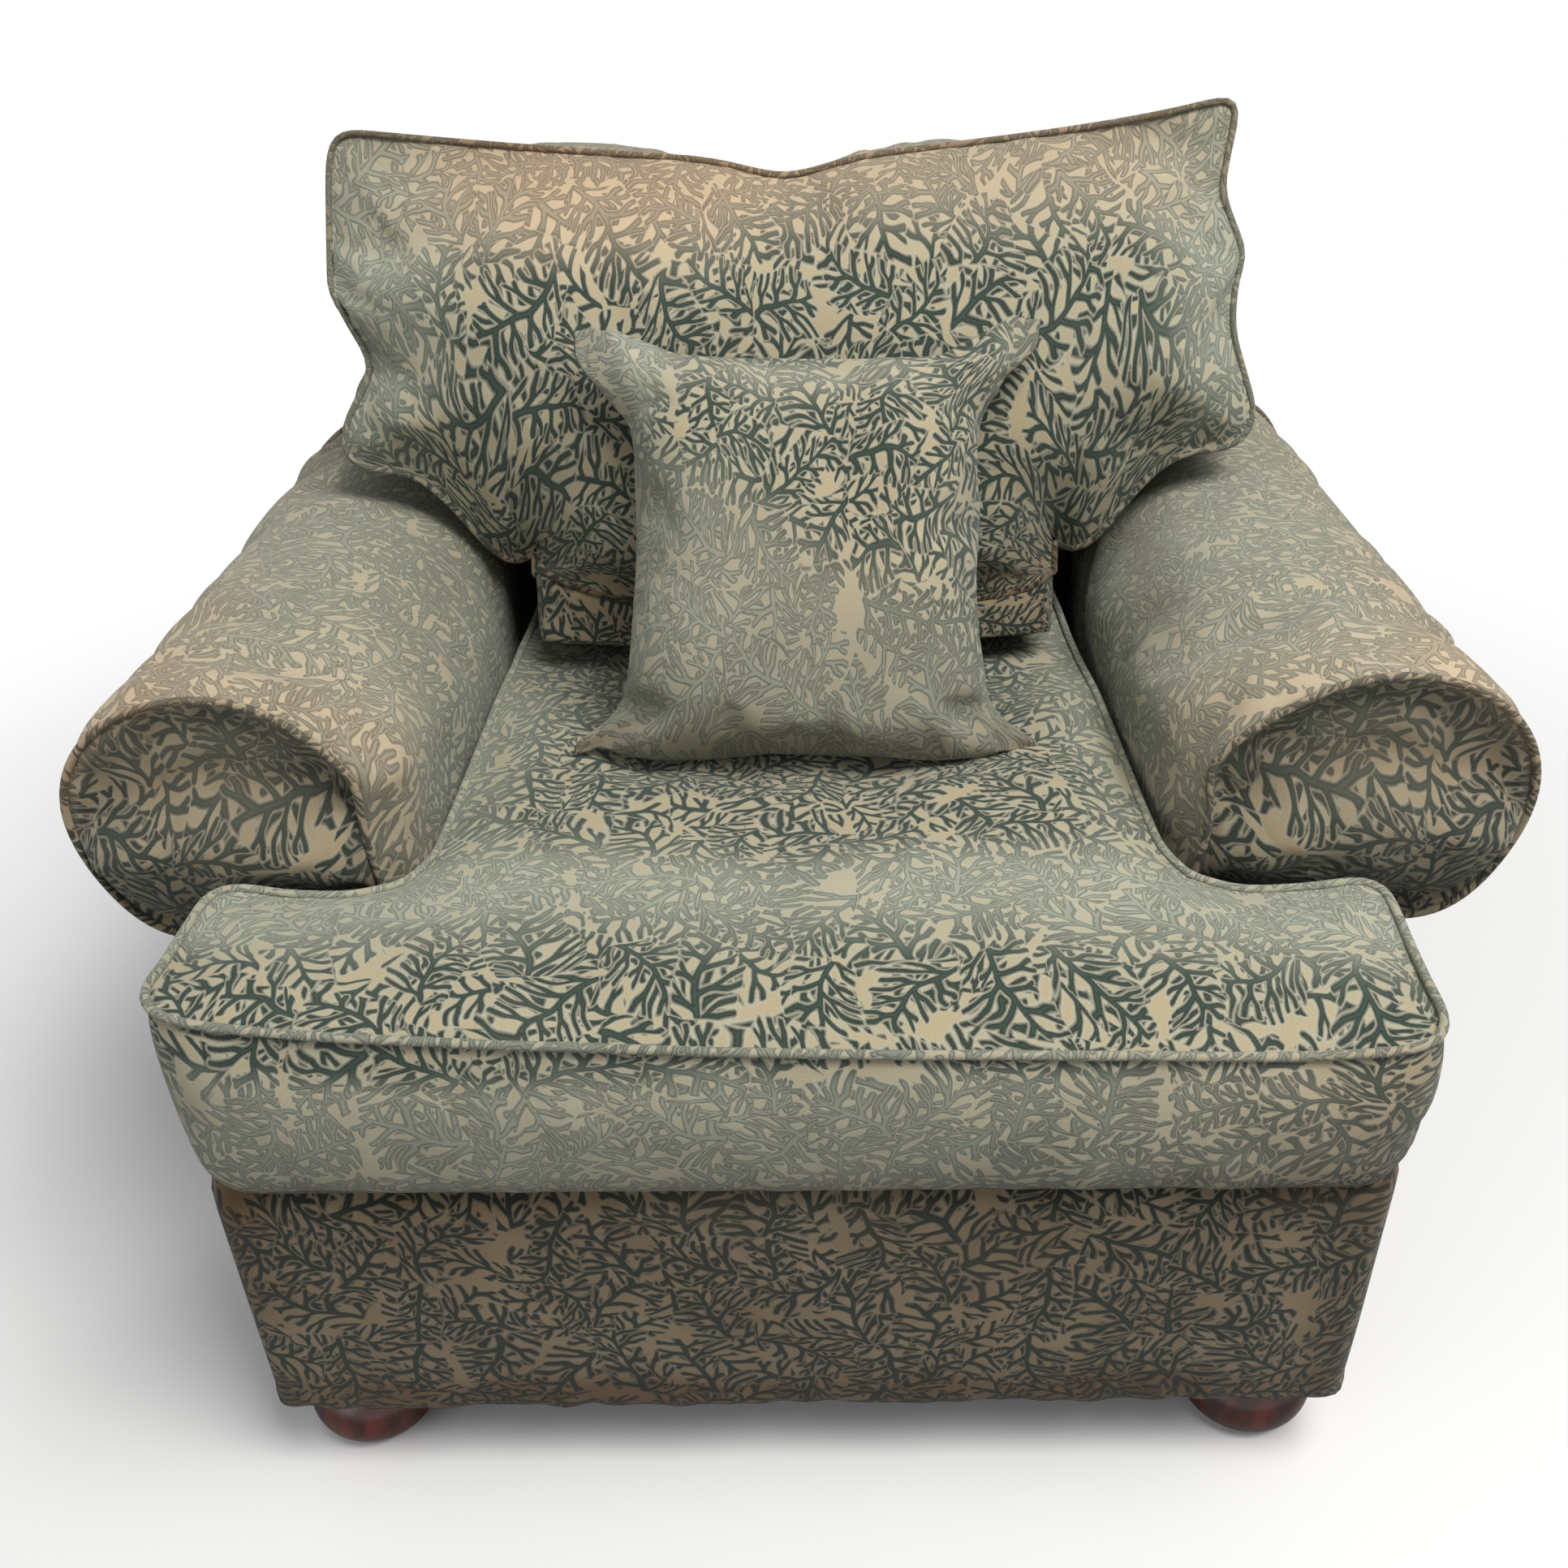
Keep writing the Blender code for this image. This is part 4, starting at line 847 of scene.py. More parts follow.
def back_wear_and_shade(points):
    """Fade, tan and third share of the back cushion: bleached at the top, grey at the sides, green in the
    middle;
    the third share paints shade on its foot and along its top.
    """
    x, y, z = points.T
    top = smooth_step(z + 0.020 * hill(x, -0.16, 0.14), 0.795, 0.885)
    sides = smooth_step(np.abs(x - 0.01), 0.27, 0.40)
    rear = smooth_step(y, 0.27, 0.32)
    fade = np.clip(0.02 + 0.85 * top + 0.80 * sides * (0.45 + 0.55 * smooth_step(z, 0.62, 0.75)), 0, 1)
    tan = np.clip(top * (1.1 - 0.9 * sides) * (0.55 + 0.45 * hill(x, -0.12, 0.2)), 0, 1) * (1 - rear)
    # Two of the third share's terms are painted shade: a light darkening of the top, which the lamp above
    # lights strongly, and the strong darkening of the foot between the arms.
    soil_and_shade = 0.35 * hill(z, 0.93, 0.02) * hill(x, -0.1, 0.3) + 0.22 * smooth_step(z, 0.80, 0.90)
    soil_and_shade = soil_and_shade + 0.6 * smooth_step(0.60 - z, 0.0, 0.05) + 0.24 * hill(x, -0.05, 0.22) * hill(z, 0.68, 0.09)
    return np.stack([fade, tan, soil_and_shade], -1)


outline = back_layout[3]
ring = np.stack([back_x, z_line], -1)[outline[:, 0], outline[:, 1]]
level = np.linspace(0, 1, 11)[1:-1][:, None]
front_ring = back_front_sheet[outline[:, 0], outline[:, 1]]
rear_ring = back_back_sheet[outline[:, 0], outline[:, 1]]
back_rings = front_ring[None] + level[..., None] * (rear_ring - front_ring)[None]
bulge = 0.009 * np.sin(np.pi * level) ** 0.7
sole = (1 - smooth_step(rear_ring[:, 2], back_foot + 0.015, back_foot + 0.040))[None]
back_rings[..., [0, 2]] += (bulge * (1 - sole))[..., None] * outward(ring)[None]
flap = np.clip(level / 0.4, 0, 1)
under = np.clip((level - 0.4) / 0.6, 0, 1)
flap_out, flap_below = 0.024, 0.005
flap_y = front_ring[:, 1] - flap_out * np.sin(np.pi / 2 * flap)
flap_y = flap_y + (rear_ring[:, 1] - front_ring[:, 1] + flap_out) * under
flap_z = front_ring[:, 2] + (back_foot - flap_below - front_ring[:, 2]) * np.sin(np.pi / 2 * flap ** 1.2)
flap_z = flap_z + (rear_ring[:, 2] - back_foot + flap_below) * under
back_rings[..., 1] = sole * flap_y + (1 - sole) * back_rings[..., 1]
back_rings[..., 2] = sole * flap_z + (1 - sole) * back_rings[..., 2]
back, back_seam, back_rear_seam = boxed_body(
    "back_cover", back_front_sheet, back_back_sheet, back_layout, back_rings,
    np.stack([back_x, back_s * back_rise], -1), 0.18, back_wear_and_shade, coral_cloth, shift=(0.0, 1.1))
rear = np.arange(back_seam.max() + 1, 2 * (back_seam.max() + 1))
rear = np.concatenate([rear, back_seam[points_of(back)[back_seam][:, 2] > 0.80]])
sewn = np.concatenate([back_seam, back_rear_seam])
stuff(back, 0.016, slack=0.05, held=rear, seam=sewn, seam_pull=0.015)
declare(back, "coral_cloth", "back_cushion", fill=0.45)

# %% Back welts
for name, numbers, push in (("back_welt_front", back_seam, -0.0012), ("back_welt_rear", back_rear_seam, 0.0)):
    path = softened(points_of(back)[numbers])
    path[:, [0, 2]] += 0.0016 * outward(path[:, [0, 2]])
    path[:, 1] += push
    # The back welts are darkened by the third share: grime on the piping and a painted shadow line.
    welt(name, path, back_wear_and_shade, "coral_cloth", radius=0.0030, shift=1.4, rub_and_shade=(0.2, 0.40))
subdivide(back, seams=[back_seam, back_rear_seam])

# %% [markdown]
# ## The small square cushion
# Two squares of cloth sewn edge to edge, stuffed loosely: the middle is full, the sides draw in and the
# four corners stay flat and flop over. Two sheets share one border of points. It leans on the back cushion.

# %% Small cushion
def small_cushion(cells=52, half_width=0.202, half_height=0.178, loft=0.070, pinch=0.044):
    """Points, quads and map of two sheets over u, v from -1 to 1 that share their border.

    The body is nearly straight-sided, and the corners stand out from it as flat ears.
    """
    line = np.sin(np.linspace(-1, 1, cells + 1) * np.pi / 2) * 0.35 + np.linspace(-1, 1, cells + 1) * 0.65
    v, u = np.meshgrid(line, line, indexing="ij")
    rise = np.abs(v)
    ears = np.where(v > 0, smooth_step(rise, 0.52, 0.90), smooth_step(rise, 0.76, 0.97))
    x = u * (half_width - pinch + pinch * ears)
    x = x - 0.006 * u * np.cos(np.pi / 2 * v)
    z = half_height * v - np.where(v > 0, 0.012, 0.014) * rise * (1 - smooth_step(np.abs(u), 0.55, 0.90))
    corner = np.where(v > 0, smooth_step(rise, 0.46, 0.80), smooth_step(rise, 0.70, 0.90))
    corner = smooth_step(np.abs(u), 0.62, 0.84) * corner
    upright = np.where(v > 0, (1 - rise ** 3) ** 0.8, (1 - rise ** 7) ** 0.5)
    fat = loft * (1 - np.abs(u) ** 6) ** 0.5 * upright * (1 - 0.93 * corner)
    fat = fat * (1 + 0.07 * waves(x, z, 0.12, 5))
    left_top, right_top = corner * (v > 0) * (u < 0), corner * (v > 0) * (u > 0)
    bottom = corner * (v < 0)
    z = z - 0.004 * left_top + 0.012 * right_top
    out = -0.026 * left_top - 0.014 * right_top - 0.010 * bottom
    crease = 0.007 * (left_top + right_top) * np.sin(60 * (np.abs(x) - 0.6 * z) + 1.2)
    crease = crease + 0.006 * bottom * np.sin(75 * (np.abs(x) + 0.5 * z))
    front = np.stack([x, out + crease - fat, z], -1)
    back = np.stack([x, out + crease + fat, z], -1)
    count = (cells + 1) ** 2
    number = np.arange(count).reshape(cells + 1, cells + 1)
    inside = np.zeros_like(number, bool)
    inside[1:-1, 1:-1] = True
    rear_number = number.copy()
    rear_number[inside] = count + np.arange(inside.sum())
    points = np.concatenate([front.reshape(-1, 3), back[inside]])
    faces = np.concatenate([grid_faces(number), grid_faces(rear_number)[:, ::-1]])
    places = grid_map(np.stack([u * half_width, v * half_height], -1))
    cloth_map = np.concatenate([places + [0.9, 0.5], places[:, ::-1] + [4.9, 0.5]])
    border = np.concatenate([number[0], number[1:, -1], number[-1, -2::-1], number[-2:0:-1, 0]])
    return points, faces, cloth_map, border


def small_wear(local):
    """Fade, tan and soil of the small cushion: the lower left half is pale, the upper right stays green."""
    x, _, z = local.T
    pale = smooth_step(-(0.55 * x + z), -0.045, 0.085)
    top_left = smooth_step(-x, 0.08, 0.15) * smooth_step(z, 0.06, 0.12)
    top_right = smooth_step(x, 0.13, 0.18) * smooth_step(z, 0.09, 0.14)
    along_top = hill(z, 0.13, 0.03) * hill(x, -0.02, 0.13)
    fade = np.clip(0.10 + 0.80 * pale + 0.75 * top_left + 0.45 * top_right + 0.50 * along_top, 0, 1)
    tan = 0.18 * hill(x, 0.05, 0.09) * hill(z, -0.02, 0.07) + 0.10 * hill(z, 0.13, 0.05)
    soil_and_shade = 0.25 * smooth_step(-z, 0.15, 0.18) + 0.30 * pale + 0.15 * smooth_step(np.abs(x), 0.15, 0.19)
    return np.stack([fade, tan, soil_and_shade], -1)


local, faces, cloth_map, border = small_cushion()
small = piece_from("scatter_cover", local, faces, cloth_map, small_wear(local), coral_cloth)
stuff(small, 0.012, slack=0.05, pressure=3.0, seam=border, seam_pull=0.0)
lean_back, lean_side = math.radians(-35.0), math.radians(1.5)
off_centre = np.array([0.002, -0.014, -0.026])
turn_x = np.array([[1, 0, 0], [0, math.cos(lean_back), -math.sin(lean_back)],
                   [0, math.sin(lean_back), math.cos(lean_back)]])
turn_y = np.array([[math.cos(lean_side), 0, math.sin(lean_side)], [0, 1, 0],
                   [-math.sin(lean_side), 0, math.cos(lean_side)]])
low, high = (np.array(corner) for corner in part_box("scatter_cushion"))
placed = points_of(small) @ (turn_y @ turn_x).T + (low + high) / 2 + off_centre
small.data.vertices.foreach_set("co", placed.reshape(-1))
declare(small, "worn_cloth", "scatter_cushion", fill=0.5)
subdivide(small, seams=[border])
print("small cushion from", placed.min(0).round(3), "to", placed.max(0).round(3))

# %% [markdown]
# ## The arms
# A rolled arm is a sleeve of cloth over a padded board, with a sunken end face sewn in. Its section is one
# closed curve: up the outer wall, round the roll, down the inner wall and back. The roll swells and sinks
# in the middle of its length and falls towards the back, where the stuffing has gone. The end face is the
# same curve shrunk towards a point in rings, pushed in under the top welt and out below it, as loose
# stuffing does.

# %% Arm section
roll_x, roll_z, roll_wide, roll_tall = 0.433, 0.536, 0.116, 0.104
wall_foot, outer_wall_x, arm_taper = 0.2565, 0.4235, 0.024


def arm_curve(share, side):
    """The closed section at each share of the length: (sections, points, 2) as distance out and height."""
    share = share[:, None]
    swell = 0.014 * np.sin(np.pi * np.clip(share * 1.15, 0, 1)) ** 0.8
    sunk = 0.012 * np.sin(np.pi * share) ** 2 + 0.032 * share
    turns = np.radians(np.linspace(-86, 182, 64))[None]
    inwards = np.clip(-np.cos(turns), 0, 1)
    x = roll_x + (roll_wide + 0.4 * swell) * np.cos(turns) - 1.2 * swell * smooth_step(inwards, 0, 0.5)
    z = roll_z - sunk + (roll_tall + 0.4 * swell) * np.sin(turns)
    x = x - (0.016 + 0.004 * side) * hill(turns, math.radians(161), math.radians(22))
    z = z - 0.020 * hill(turns, math.radians(-50), math.radians(28)) * (1 - 0.6 * share)
    inner = 0.287 - arm_taper * share
    rise = np.linspace(0, 1, 10)[None, :-1]
    outer_wall = np.stack(np.broadcast_arrays(outer_wall_x, wall_foot + (z[:, :1] - wall_foot) * rise), -1)
    fall = np.linspace(0, 1, 22)[None, 1:]
    top = roll_z - 0.036 - sunk
    inner_wall = np.stack(np.broadcast_arrays(inner, top + (wall_foot - top) * fall), -1)
    inner_wall[..., 0] += (x[:, -1:] - inner) * (1 - fall) ** 3
    foot = np.linspace(0, 1, 8)[None, 1:-1]
    sole = np.stack(np.broadcast_arrays(inner + (outer_wall_x - inner) * foot, wall_foot), -1)
    curve = np.concatenate([outer_wall, np.stack([x, z], -1), inner_wall, sole], axis=1)
    near_end = np.clip(1 - share / 0.075, 0, 1)
    rounded_by = (0.012 - 0.006 * side) * (1 - np.sqrt(1 - near_end ** 2))
    curve[..., 0] += rounded_by * (1 - smooth_step(curve[..., 0], 0.30, 0.42))
    groove = hill(curve[..., 1], roll_z - 0.030 - sunk, 0.016) * (1 - smooth_step(curve[..., 0], 0.33, 0.36))
    curve[..., 0] += 0.014 * groove
    return softened(curve, axis=1)


def arm_wear_and_shade(points, on_face=None):
    """Fade, tan and third share of the arms: tanned along the roll and the front, grey-green further back;
    the third share paints shade on the sunken end faces and in the fold under the top welt.
    """
    x, y, z = np.abs(points[:, 0]), points[:, 1], points[:, 2]
    right_arm = points[:, 0] > 0
    face = np.zeros(len(points)) if on_face is None else on_face
    on_top = smooth_step(z, 0.50, 0.60)
    front = 1 - smooth_step(y, -0.15, 0.10)
    outer = smooth_step(x, 0.42, 0.50)
    near_welt = hill(y, -0.22, 0.05)
    fade = np.clip(0.56 + 0.24 * on_top - 0.40 * face - 0.25 * near_welt * outer * (1 - on_top), 0, 1)
    tan = np.clip((0.25 + 0.55 * outer) * on_top * (0.5 + 0.5 * front) + 0.4 * near_welt * (1 - face), 0, 1)
    tan = np.where(right_arm, tan * 0.8, tan) * (1 - 0.7 * face)
    inner_edge = hill(x, 0.315, 0.020) * hill(y, 0.05, 0.14) * smooth_step(z, 0.54, 0.60)
    # On the end faces the third share is painted shade: the sunken face and, more strongly, the fold under
    # the top welt are darkened as though in shadow.
    fold_shade = face * hill(z + 3.4 * (x - roll_x) ** 2, roll_z + 0.040, 0.016)
    soil_and_shade = 0.08 + 0.38 * face + 0.15 * fold_shade + 0.25 * smooth_step(0.50 - z, 0, 0.1)
    soil_and_shade = soil_and_shade + np.where(right_arm, 0.9, 0.2) * inner_edge
    bare = np.where(right_arm, hill(x, 0.325, 0.025) * hill(y, 0.02, 0.12) * on_top, 0.0)
    return np.stack([np.clip(fade + 0.4 * bare, 0, 1), tan * (1 - 0.8 * bare), soil_and_shade * (1 - 0.5 * bare)], -1)


def end_face(loop, centre, depth, rings=15, plane=None):
    """Rings that shrink a loop (n, 3) towards a centre; depth(x, z, share) moves them along the arm.

    With a plane, the rings leave the loop's own depth for that plane within the first fifth.
    """
    share = (np.arange(1, rings + 1) / (rings + 0.35))[:, None, None]
    flat = loop[None, :, [0, 2]] + share * (centre - loop[:, [0, 2]])[None]
    y = loop[None, :, 1] + depth(flat[..., 0], flat[..., 1], share[..., 0])
    if plane is not None:
        y = y + (plane - loop[None, :, 1]) * smooth_step(share[..., 0], 0.0, 0.2)
    return np.stack([flat[..., 0], y, flat[..., 1]], -1)


def front_depth(x, z, share):
    """The sunken face: in under the top welt, out at the bottom, with one long fold between."""
    x = np.abs(x)
    within = smooth_step(share, 0.0, 0.17)
    height = z - roll_z
    arch = height + 3.4 * (x - roll_x) ** 2
    sunk = 0.012 * smooth_step(arch, 0.022, 0.046)
    belly = -0.034 * (1 - smooth_step(arch, -0.002, 0.034)) * (1 - smooth_step(-height, 0.012, 0.095))
    fold = 0.006 * hill(arch, -0.030, 0.008) * smooth_step(0.44 - x, 0.0, 0.05)
    small_folds = 0.0024 * waves(x, z, 0.05, 31)
    return within * np.minimum(sunk + belly + fold + small_folds, 0.0125)


def back_depth(x, z, share):
    """The rear end, nearly flat."""
    return 0.003 * smooth_step(share, 0.0, 0.3)


# %% Arm sleeves
face_x, front_centre, rear_centre = 0.388, 0.492, 0.470
front_cloth, rear_cloth = np.array([2.4, 0.6]), np.array([3.4, 0.9])


def arm_sleeve(side, sections=54):
    """Points, quads and map of one arm, with both ends closed."""
    share = np.linspace(0, 1, sections)
    curve = arm_curve(share, side)
    x, z = curve[..., 0], curve[..., 1]
    length = arm_back - arm_front
    y = arm_front + length * share[:, None] + share[:, None] ** 4 * (z - rake_from) * rake
    around = curve.shape[1]
    steps = np.linalg.norm(np.roll(curve, -1, axis=1) - curve, axis=2)
    girth = np.concatenate([np.zeros((sections, 1)), np.cumsum(steps, axis=1)[:, :-1]], axis=1)
    middle = np.stack([x.mean(1), z.mean(1)], -1)[:, None]
    away = curve - middle
    away /= np.linalg.norm(away, axis=2, keepdims=True)
    loose = smooth_step(z, 0.45, 0.52)
    gathers = 0.0030 * waves(girth, y * 0.25, 0.040, 41 + side) * hill(y, arm_front, 0.06)
    pulls = 0.0028 * waves(girth * 0.8, y, 0.12, 51 + side)
    swing = 0.004 * hill(y + 0.5 * (girth - 0.42), -0.08, 0.02) * hill(girth, 0.42, 0.08)
    moved = loose * (gathers + pulls + swing) * smooth_step(share, 0, 0.04)[:, None]
    curve = curve + away * moved[..., None]
    sleeve = np.stack([side * curve[..., 0], y, curve[..., 1]], -1)
    front = end_face(sleeve[0], np.array([side * face_x, front_centre]), front_depth, plane=arm_front)
    rear = end_face(sleeve[-1], np.array([side * face_x, rear_centre]), back_depth, rings=8)
    rows = np.concatenate([front[::-1], sleeve, rear])
    index = np.arange(rows.shape[0] * around).reshape(-1, around)
    points = np.concatenate([rows.reshape(-1, 3), [front[-1].mean(0), rear[-1].mean(0)]])
    front_fan = quad_fan(index[0], index.size)[:, ::-1]
    rear_fan = quad_fan(index[-1], index.size + 1)
    faces = np.concatenate([grid_faces(index, closed=True), front_fan, rear_fan])

    def seen_along(places, cloth_corner):
        """Places on the cloth of an end face: its points across and up, the same for both arms."""
        return places[..., [0, 2]] * [side, 1.0] + cloth_corner

    cloth_map = np.concatenate([
        grid_map(seen_along(rows[: len(front) + 1], front_cloth), closed_step=np.zeros(2)),
        grid_map(np.stack([y + side, girth], -1), closed_step=np.array([0.0, steps[0].sum()])),
        grid_map(seen_along(rows[len(front) + sections - 1 :], rear_cloth), closed_step=np.zeros(2)),
        seen_along(points[front_fan], front_cloth),
        seen_along(points[rear_fan], rear_cloth),
    ])
    on_face = np.zeros(len(points))
    on_face[: len(front) * around] = 1
    on_face[-2] = 1
    edge = index[len(front)]
    return points, faces, cloth_map, edge, index[len(front) + sections - 1], on_face


for side, name in ((-1, "left"), (1, "right")):
    points, faces, cloth_map, edge, rear_edge, on_face = arm_sleeve(side)
    arm = piece_from(f"arm_cover_{name}", points, faces, cloth_map, arm_wear_and_shade(points, on_face), coral_cloth)
    low_points = np.flatnonzero((points[:, 2] < 0.44) | (points[:, 1] > 0.38))
    still = np.union1d(low_points, edge)
    stuff(arm, 0.009, slack=0.04, held=still, seam=edge, seam_pull=0.02)
    declare(arm, "coral_cloth", f"arm_pad_{name}", fill=0.6)
    for place, numbers, push in (("front", edge, -0.0014), ("rear", rear_edge, 0.0010)):
        path = softened(points_of(arm)[numbers])
        path[:, [0, 2]] += 0.0014 * outward(path[:, [0, 2]])
        path[:, 1] += push
        # The arm welts are darkened by the third share: a painted shadow line along the piping.
        welt(f"arm_welt_{place}_{name}", path, arm_wear_and_shade, "coral_cloth", radius=0.0032, shift=side * 0.5,
             rub_and_shade=(0.0, 0.35))
    subdivide(arm, seams=[edge, rear_edge])

# %% [markdown]
# ## The base and the back
# The base is covered by a padded front border and two side panels, and the back by one flat panel behind
# and a padded T in front that is wrapped over the top rail. All of them are boxed bodies again, only thin.
# The front border bellies forward, its corners are round, and its cloth puckers a little where it is tacked
# under. Two narrow strips close the back's sides between the padded T and the rear panel, where the posts
# would show.

# %% Front border
base_low, base_high = 0.0823, 0.3345
panel_half = 0.4345


def panel_wear(points):
    """Fade, tan and third share of the base and back panels: strong green, darker and browner all over, most
    towards the floor.
    """
    x, _, z = points.T
    fade = np.clip(0.08 + 0.10 * hill(z, 0.32, 0.02) + 0.10 * waves(x, z, 0.3, 61), 0, 1)
    tan = 0.20 + 0.15 * smooth_step(0.16 - z, 0.0, 0.08)
    soil_and_shade = 0.72 + 0.55 * smooth_step(0.150 - z, 0.0, 0.07) + 0.15 * smooth_step(np.abs(x), 0.35, 0.43)
    high = smooth_step(z, 0.40, 0.70)
    return np.stack([fade + 0.2 * high, tan + 0.1 * high, soil_and_shade * (1 - 0.7 * high)], -1)


def rounding(share):
    """How far a quarter circle has turned in, from 0 to 1, where its run is used up by this share."""
    return 1 - np.sqrt(1 - np.clip(share, 0, 1) ** 2)


def thin_cover(name, sheets, layout, rings, flat, band_width, shift, node, fill, slot="coral_cloth",
               finish=coral_cloth):
    """A thin boxed body over a CAD node: sheets are its outside and its inside, with rings between them."""
    bands = rings_between(*sheets, layout[3], rings)
    cover, _, _ = boxed_body(name, *sheets, layout, bands, flat, band_width, panel_wear, finish, shift)
    declare(cover, slot, node, fill=fill)
    subdivide(cover)


rows, columns = 27, 111
border_layout = boxed_layout(rows, columns, rows - 1, (0, columns - 1))
border_z = np.linspace(base_low, base_high, rows)[:, None]
border_x = panel_half * np.linspace(-1, 1, columns)[None]
border_x, border_z = np.broadcast_arrays(border_x, border_z)
border_z = border_z + (0.008 - 0.005 * border_x / seat_ear) * smooth_step(border_z, 0.25, base_high)
for side in (-1, 1):
    border_x, border_z = round_corners(border_x, border_z, (side * panel_half, base_low, side, -1), 0.014)
share = np.clip((border_z - base_low) / (base_high - base_low), 0, 1)
corner_radius = 0.020
end = np.clip((np.abs(border_x) - (panel_half - corner_radius)) / corner_radius, 0, 1)
turned_in = corner_radius * rounding(end)
top_round = 0.010 * rounding((share - 0.95) / 0.05)
low_round = 0.005 * rounding((0.05 - share) / 0.05)
tacks = 0.0016 * waves(border_x, 0 * border_z, 0.035, 62) * np.clip(1 - share / 0.35, 0, 1) ** 2 * (1 - end)
slack = 0.0014 * waves(border_x, border_z * 0.5, 0.16, 63)
belly = 0.005 * np.clip(np.sin(np.pi * share), 0, 1) ** 0.8 * (1 - end)
front_y = -0.4395 - belly - tacks - slack * np.sin(np.pi * share) + turned_in + top_round + low_round
behind = np.where(share > 0.97, -0.4100, -0.4188)
border_front = np.stack([border_x, front_y, border_z], -1)
border_back = np.stack([border_x, behind, border_z], -1)
thin_cover("border_cover", (border_front, border_back), border_layout, 4, np.stack([border_x, border_z], -1),
           0.03, (1.7, 2.2), "front_border", 0.7)

# %% Side panels
front_cells, low_cells = 19, 21
side_y = rows_between(-0.4175, arm_front, arm_back, front_cells, 60)
side_z = rows_between(base_low, base_high, 0.4358, low_cells, 10)
panel_layout = boxed_layout(len(side_z), len(side_y), low_cells, (front_cells, len(side_y) - 1))
flat_y, flat_z = np.meshgrid(side_y, side_z)
share = np.clip((flat_y - arm_front) / (arm_back - arm_front), 0, 1)
leaned = flat_y + share * np.clip(flat_z - rake_from, 0, None) * rake
panel_gap = from_outline(flat_y, flat_z, panel_layout[3])
for side, name in ((-1, "left"), (1, "right")):
    fullness = 0.003 * (1 - np.exp(-panel_gap / 0.02)) + 0.0012 * waves(flat_y, flat_z, 0.15, 64 + side)
    outer = panel_half - 0.004 * np.exp(-panel_gap / 0.004) + fullness
    outside = np.stack([side * outer, leaned, flat_z], -1)
    inside = np.stack([np.full(outer.shape, side * 0.4255), leaned, flat_z], -1)
    flat = np.stack([side * flat_y, flat_z], -1)
    thin_cover(f"side_cover_{name}", (outside, inside), panel_layout, 1, flat, 0.01, (side * 2.0, 2.8),
               f"outside_arm_{name}", 0.8)

# %% Outside back
rows, columns = 61, 71
rear_layout = boxed_layout(rows, columns, rows - 1, (0, columns - 1))
rear_x, rear_z = np.linspace(-panel_half, panel_half, columns), np.linspace(base_low, 0.7995, rows)
flat_x, flat_z = np.meshgrid(rear_x, rear_z)
rear_lean = np.clip(flat_z - rake_from, 0, None) * rake
rear_gap = from_outline(flat_x, flat_z, rear_layout[3])
slack = 0.0025 * (1 - np.exp(-rear_gap / 0.03)) + 0.0014 * waves(flat_x, flat_z, 0.22, 67)
outside = np.stack([flat_x, arm_back - 0.0035 * np.exp(-rear_gap / 0.004) + rear_lean + slack, flat_z], -1)
inside = np.stack([flat_x, 0.4045 + rear_lean, flat_z], -1)
thin_cover("rear_cover", (outside, inside), rear_layout, 1, np.stack([flat_x, flat_z], -1),
           0.01, (5.2, 0.4), "outside_back", 0.8)


# %% Inside back
def run_along(line):
    """The length of a bent line (n, 2) from its start to each of its points."""
    return np.concatenate([[0.0], np.cumsum(np.linalg.norm(np.diff(line, axis=0), axis=1))])


def along_path(corners, shares, softness):
    """Points at shares of the length of a bent line, its corners smoothed over softness millimetres."""
    corners = np.array(corners)
    lengths = run_along(corners)
    fine = np.linspace(0, lengths[-1], 801)
    line = np.stack([np.interp(fine, lengths, corners[:, k]) for k in (0, 1)], -1)
    width = max(1, int(softness / 1000 / (lengths[-1] / 800)))
    kernel = np.hanning(2 * width + 3)[1:-1]
    padded = np.pad(line, ((width, width), (0, 0)), mode="reflect", reflect_type="odd")
    line = np.stack([np.convolve(padded[:, k], kernel / kernel.sum(), mode="valid") for k in (0, 1)], -1)
    return np.stack([np.interp(shares * lengths[-1], fine, line[:, k]) for k in (0, 1)], -1)


pad_foot = 0.3555
pad_front = [(0.3275, pad_foot), (0.3475, 0.600), (0.3675, 0.795), (0.3735, 0.822), (0.390, 0.8355),
             (0.4146, 0.8395), (0.440, 0.8355), (0.4560, 0.820), (0.4590, 0.8010)]
pad_behind = [(0.3715, pad_foot), (0.4150, 0.8008), (0.4420, 0.8008), (0.4490, 0.8008)]
down = np.concatenate([np.linspace(0, 0.56, 41), np.linspace(0.56, 1, 17)[1:]])
front_path = along_path(pad_front, 1 - down, 14)
behind_path = along_path(pad_behind, np.clip((1 - down) * 1.06, 0, 1), 1)
above_arms, ear_cells, inner_cells = 0.612, 12, 40
notch = int(np.argmin(np.abs(front_path[:, 1] - above_arms)))
pad_x = t_columns(ear_cells, inner_cells, np.full(len(down), panel_half), np.full(len(down), 0.2555))
pad_layout = boxed_layout(*pad_x.shape, notch, (ear_cells, ear_cells + inner_cells))
end = np.clip((np.abs(pad_x) - (panel_half - corner_radius)) / corner_radius, 0, 1)
drop = 0.012 * rounding(end)
rail_middle = np.array([0.4146, 0.800])
inward = rail_middle - front_path
inward /= np.linalg.norm(inward, axis=1, keepdims=True)
outside = np.concatenate([pad_x[..., None], front_path[:, None] + inward[:, None] * drop[..., None]], -1)
outside[..., 1] -= 0.0015 * waves(pad_x, front_path[:, 1:], 0.12, 68) * (1 - end)
inside = np.concatenate([pad_x[..., None], np.repeat(behind_path[:, None], pad_x.shape[1], axis=1)], -1)
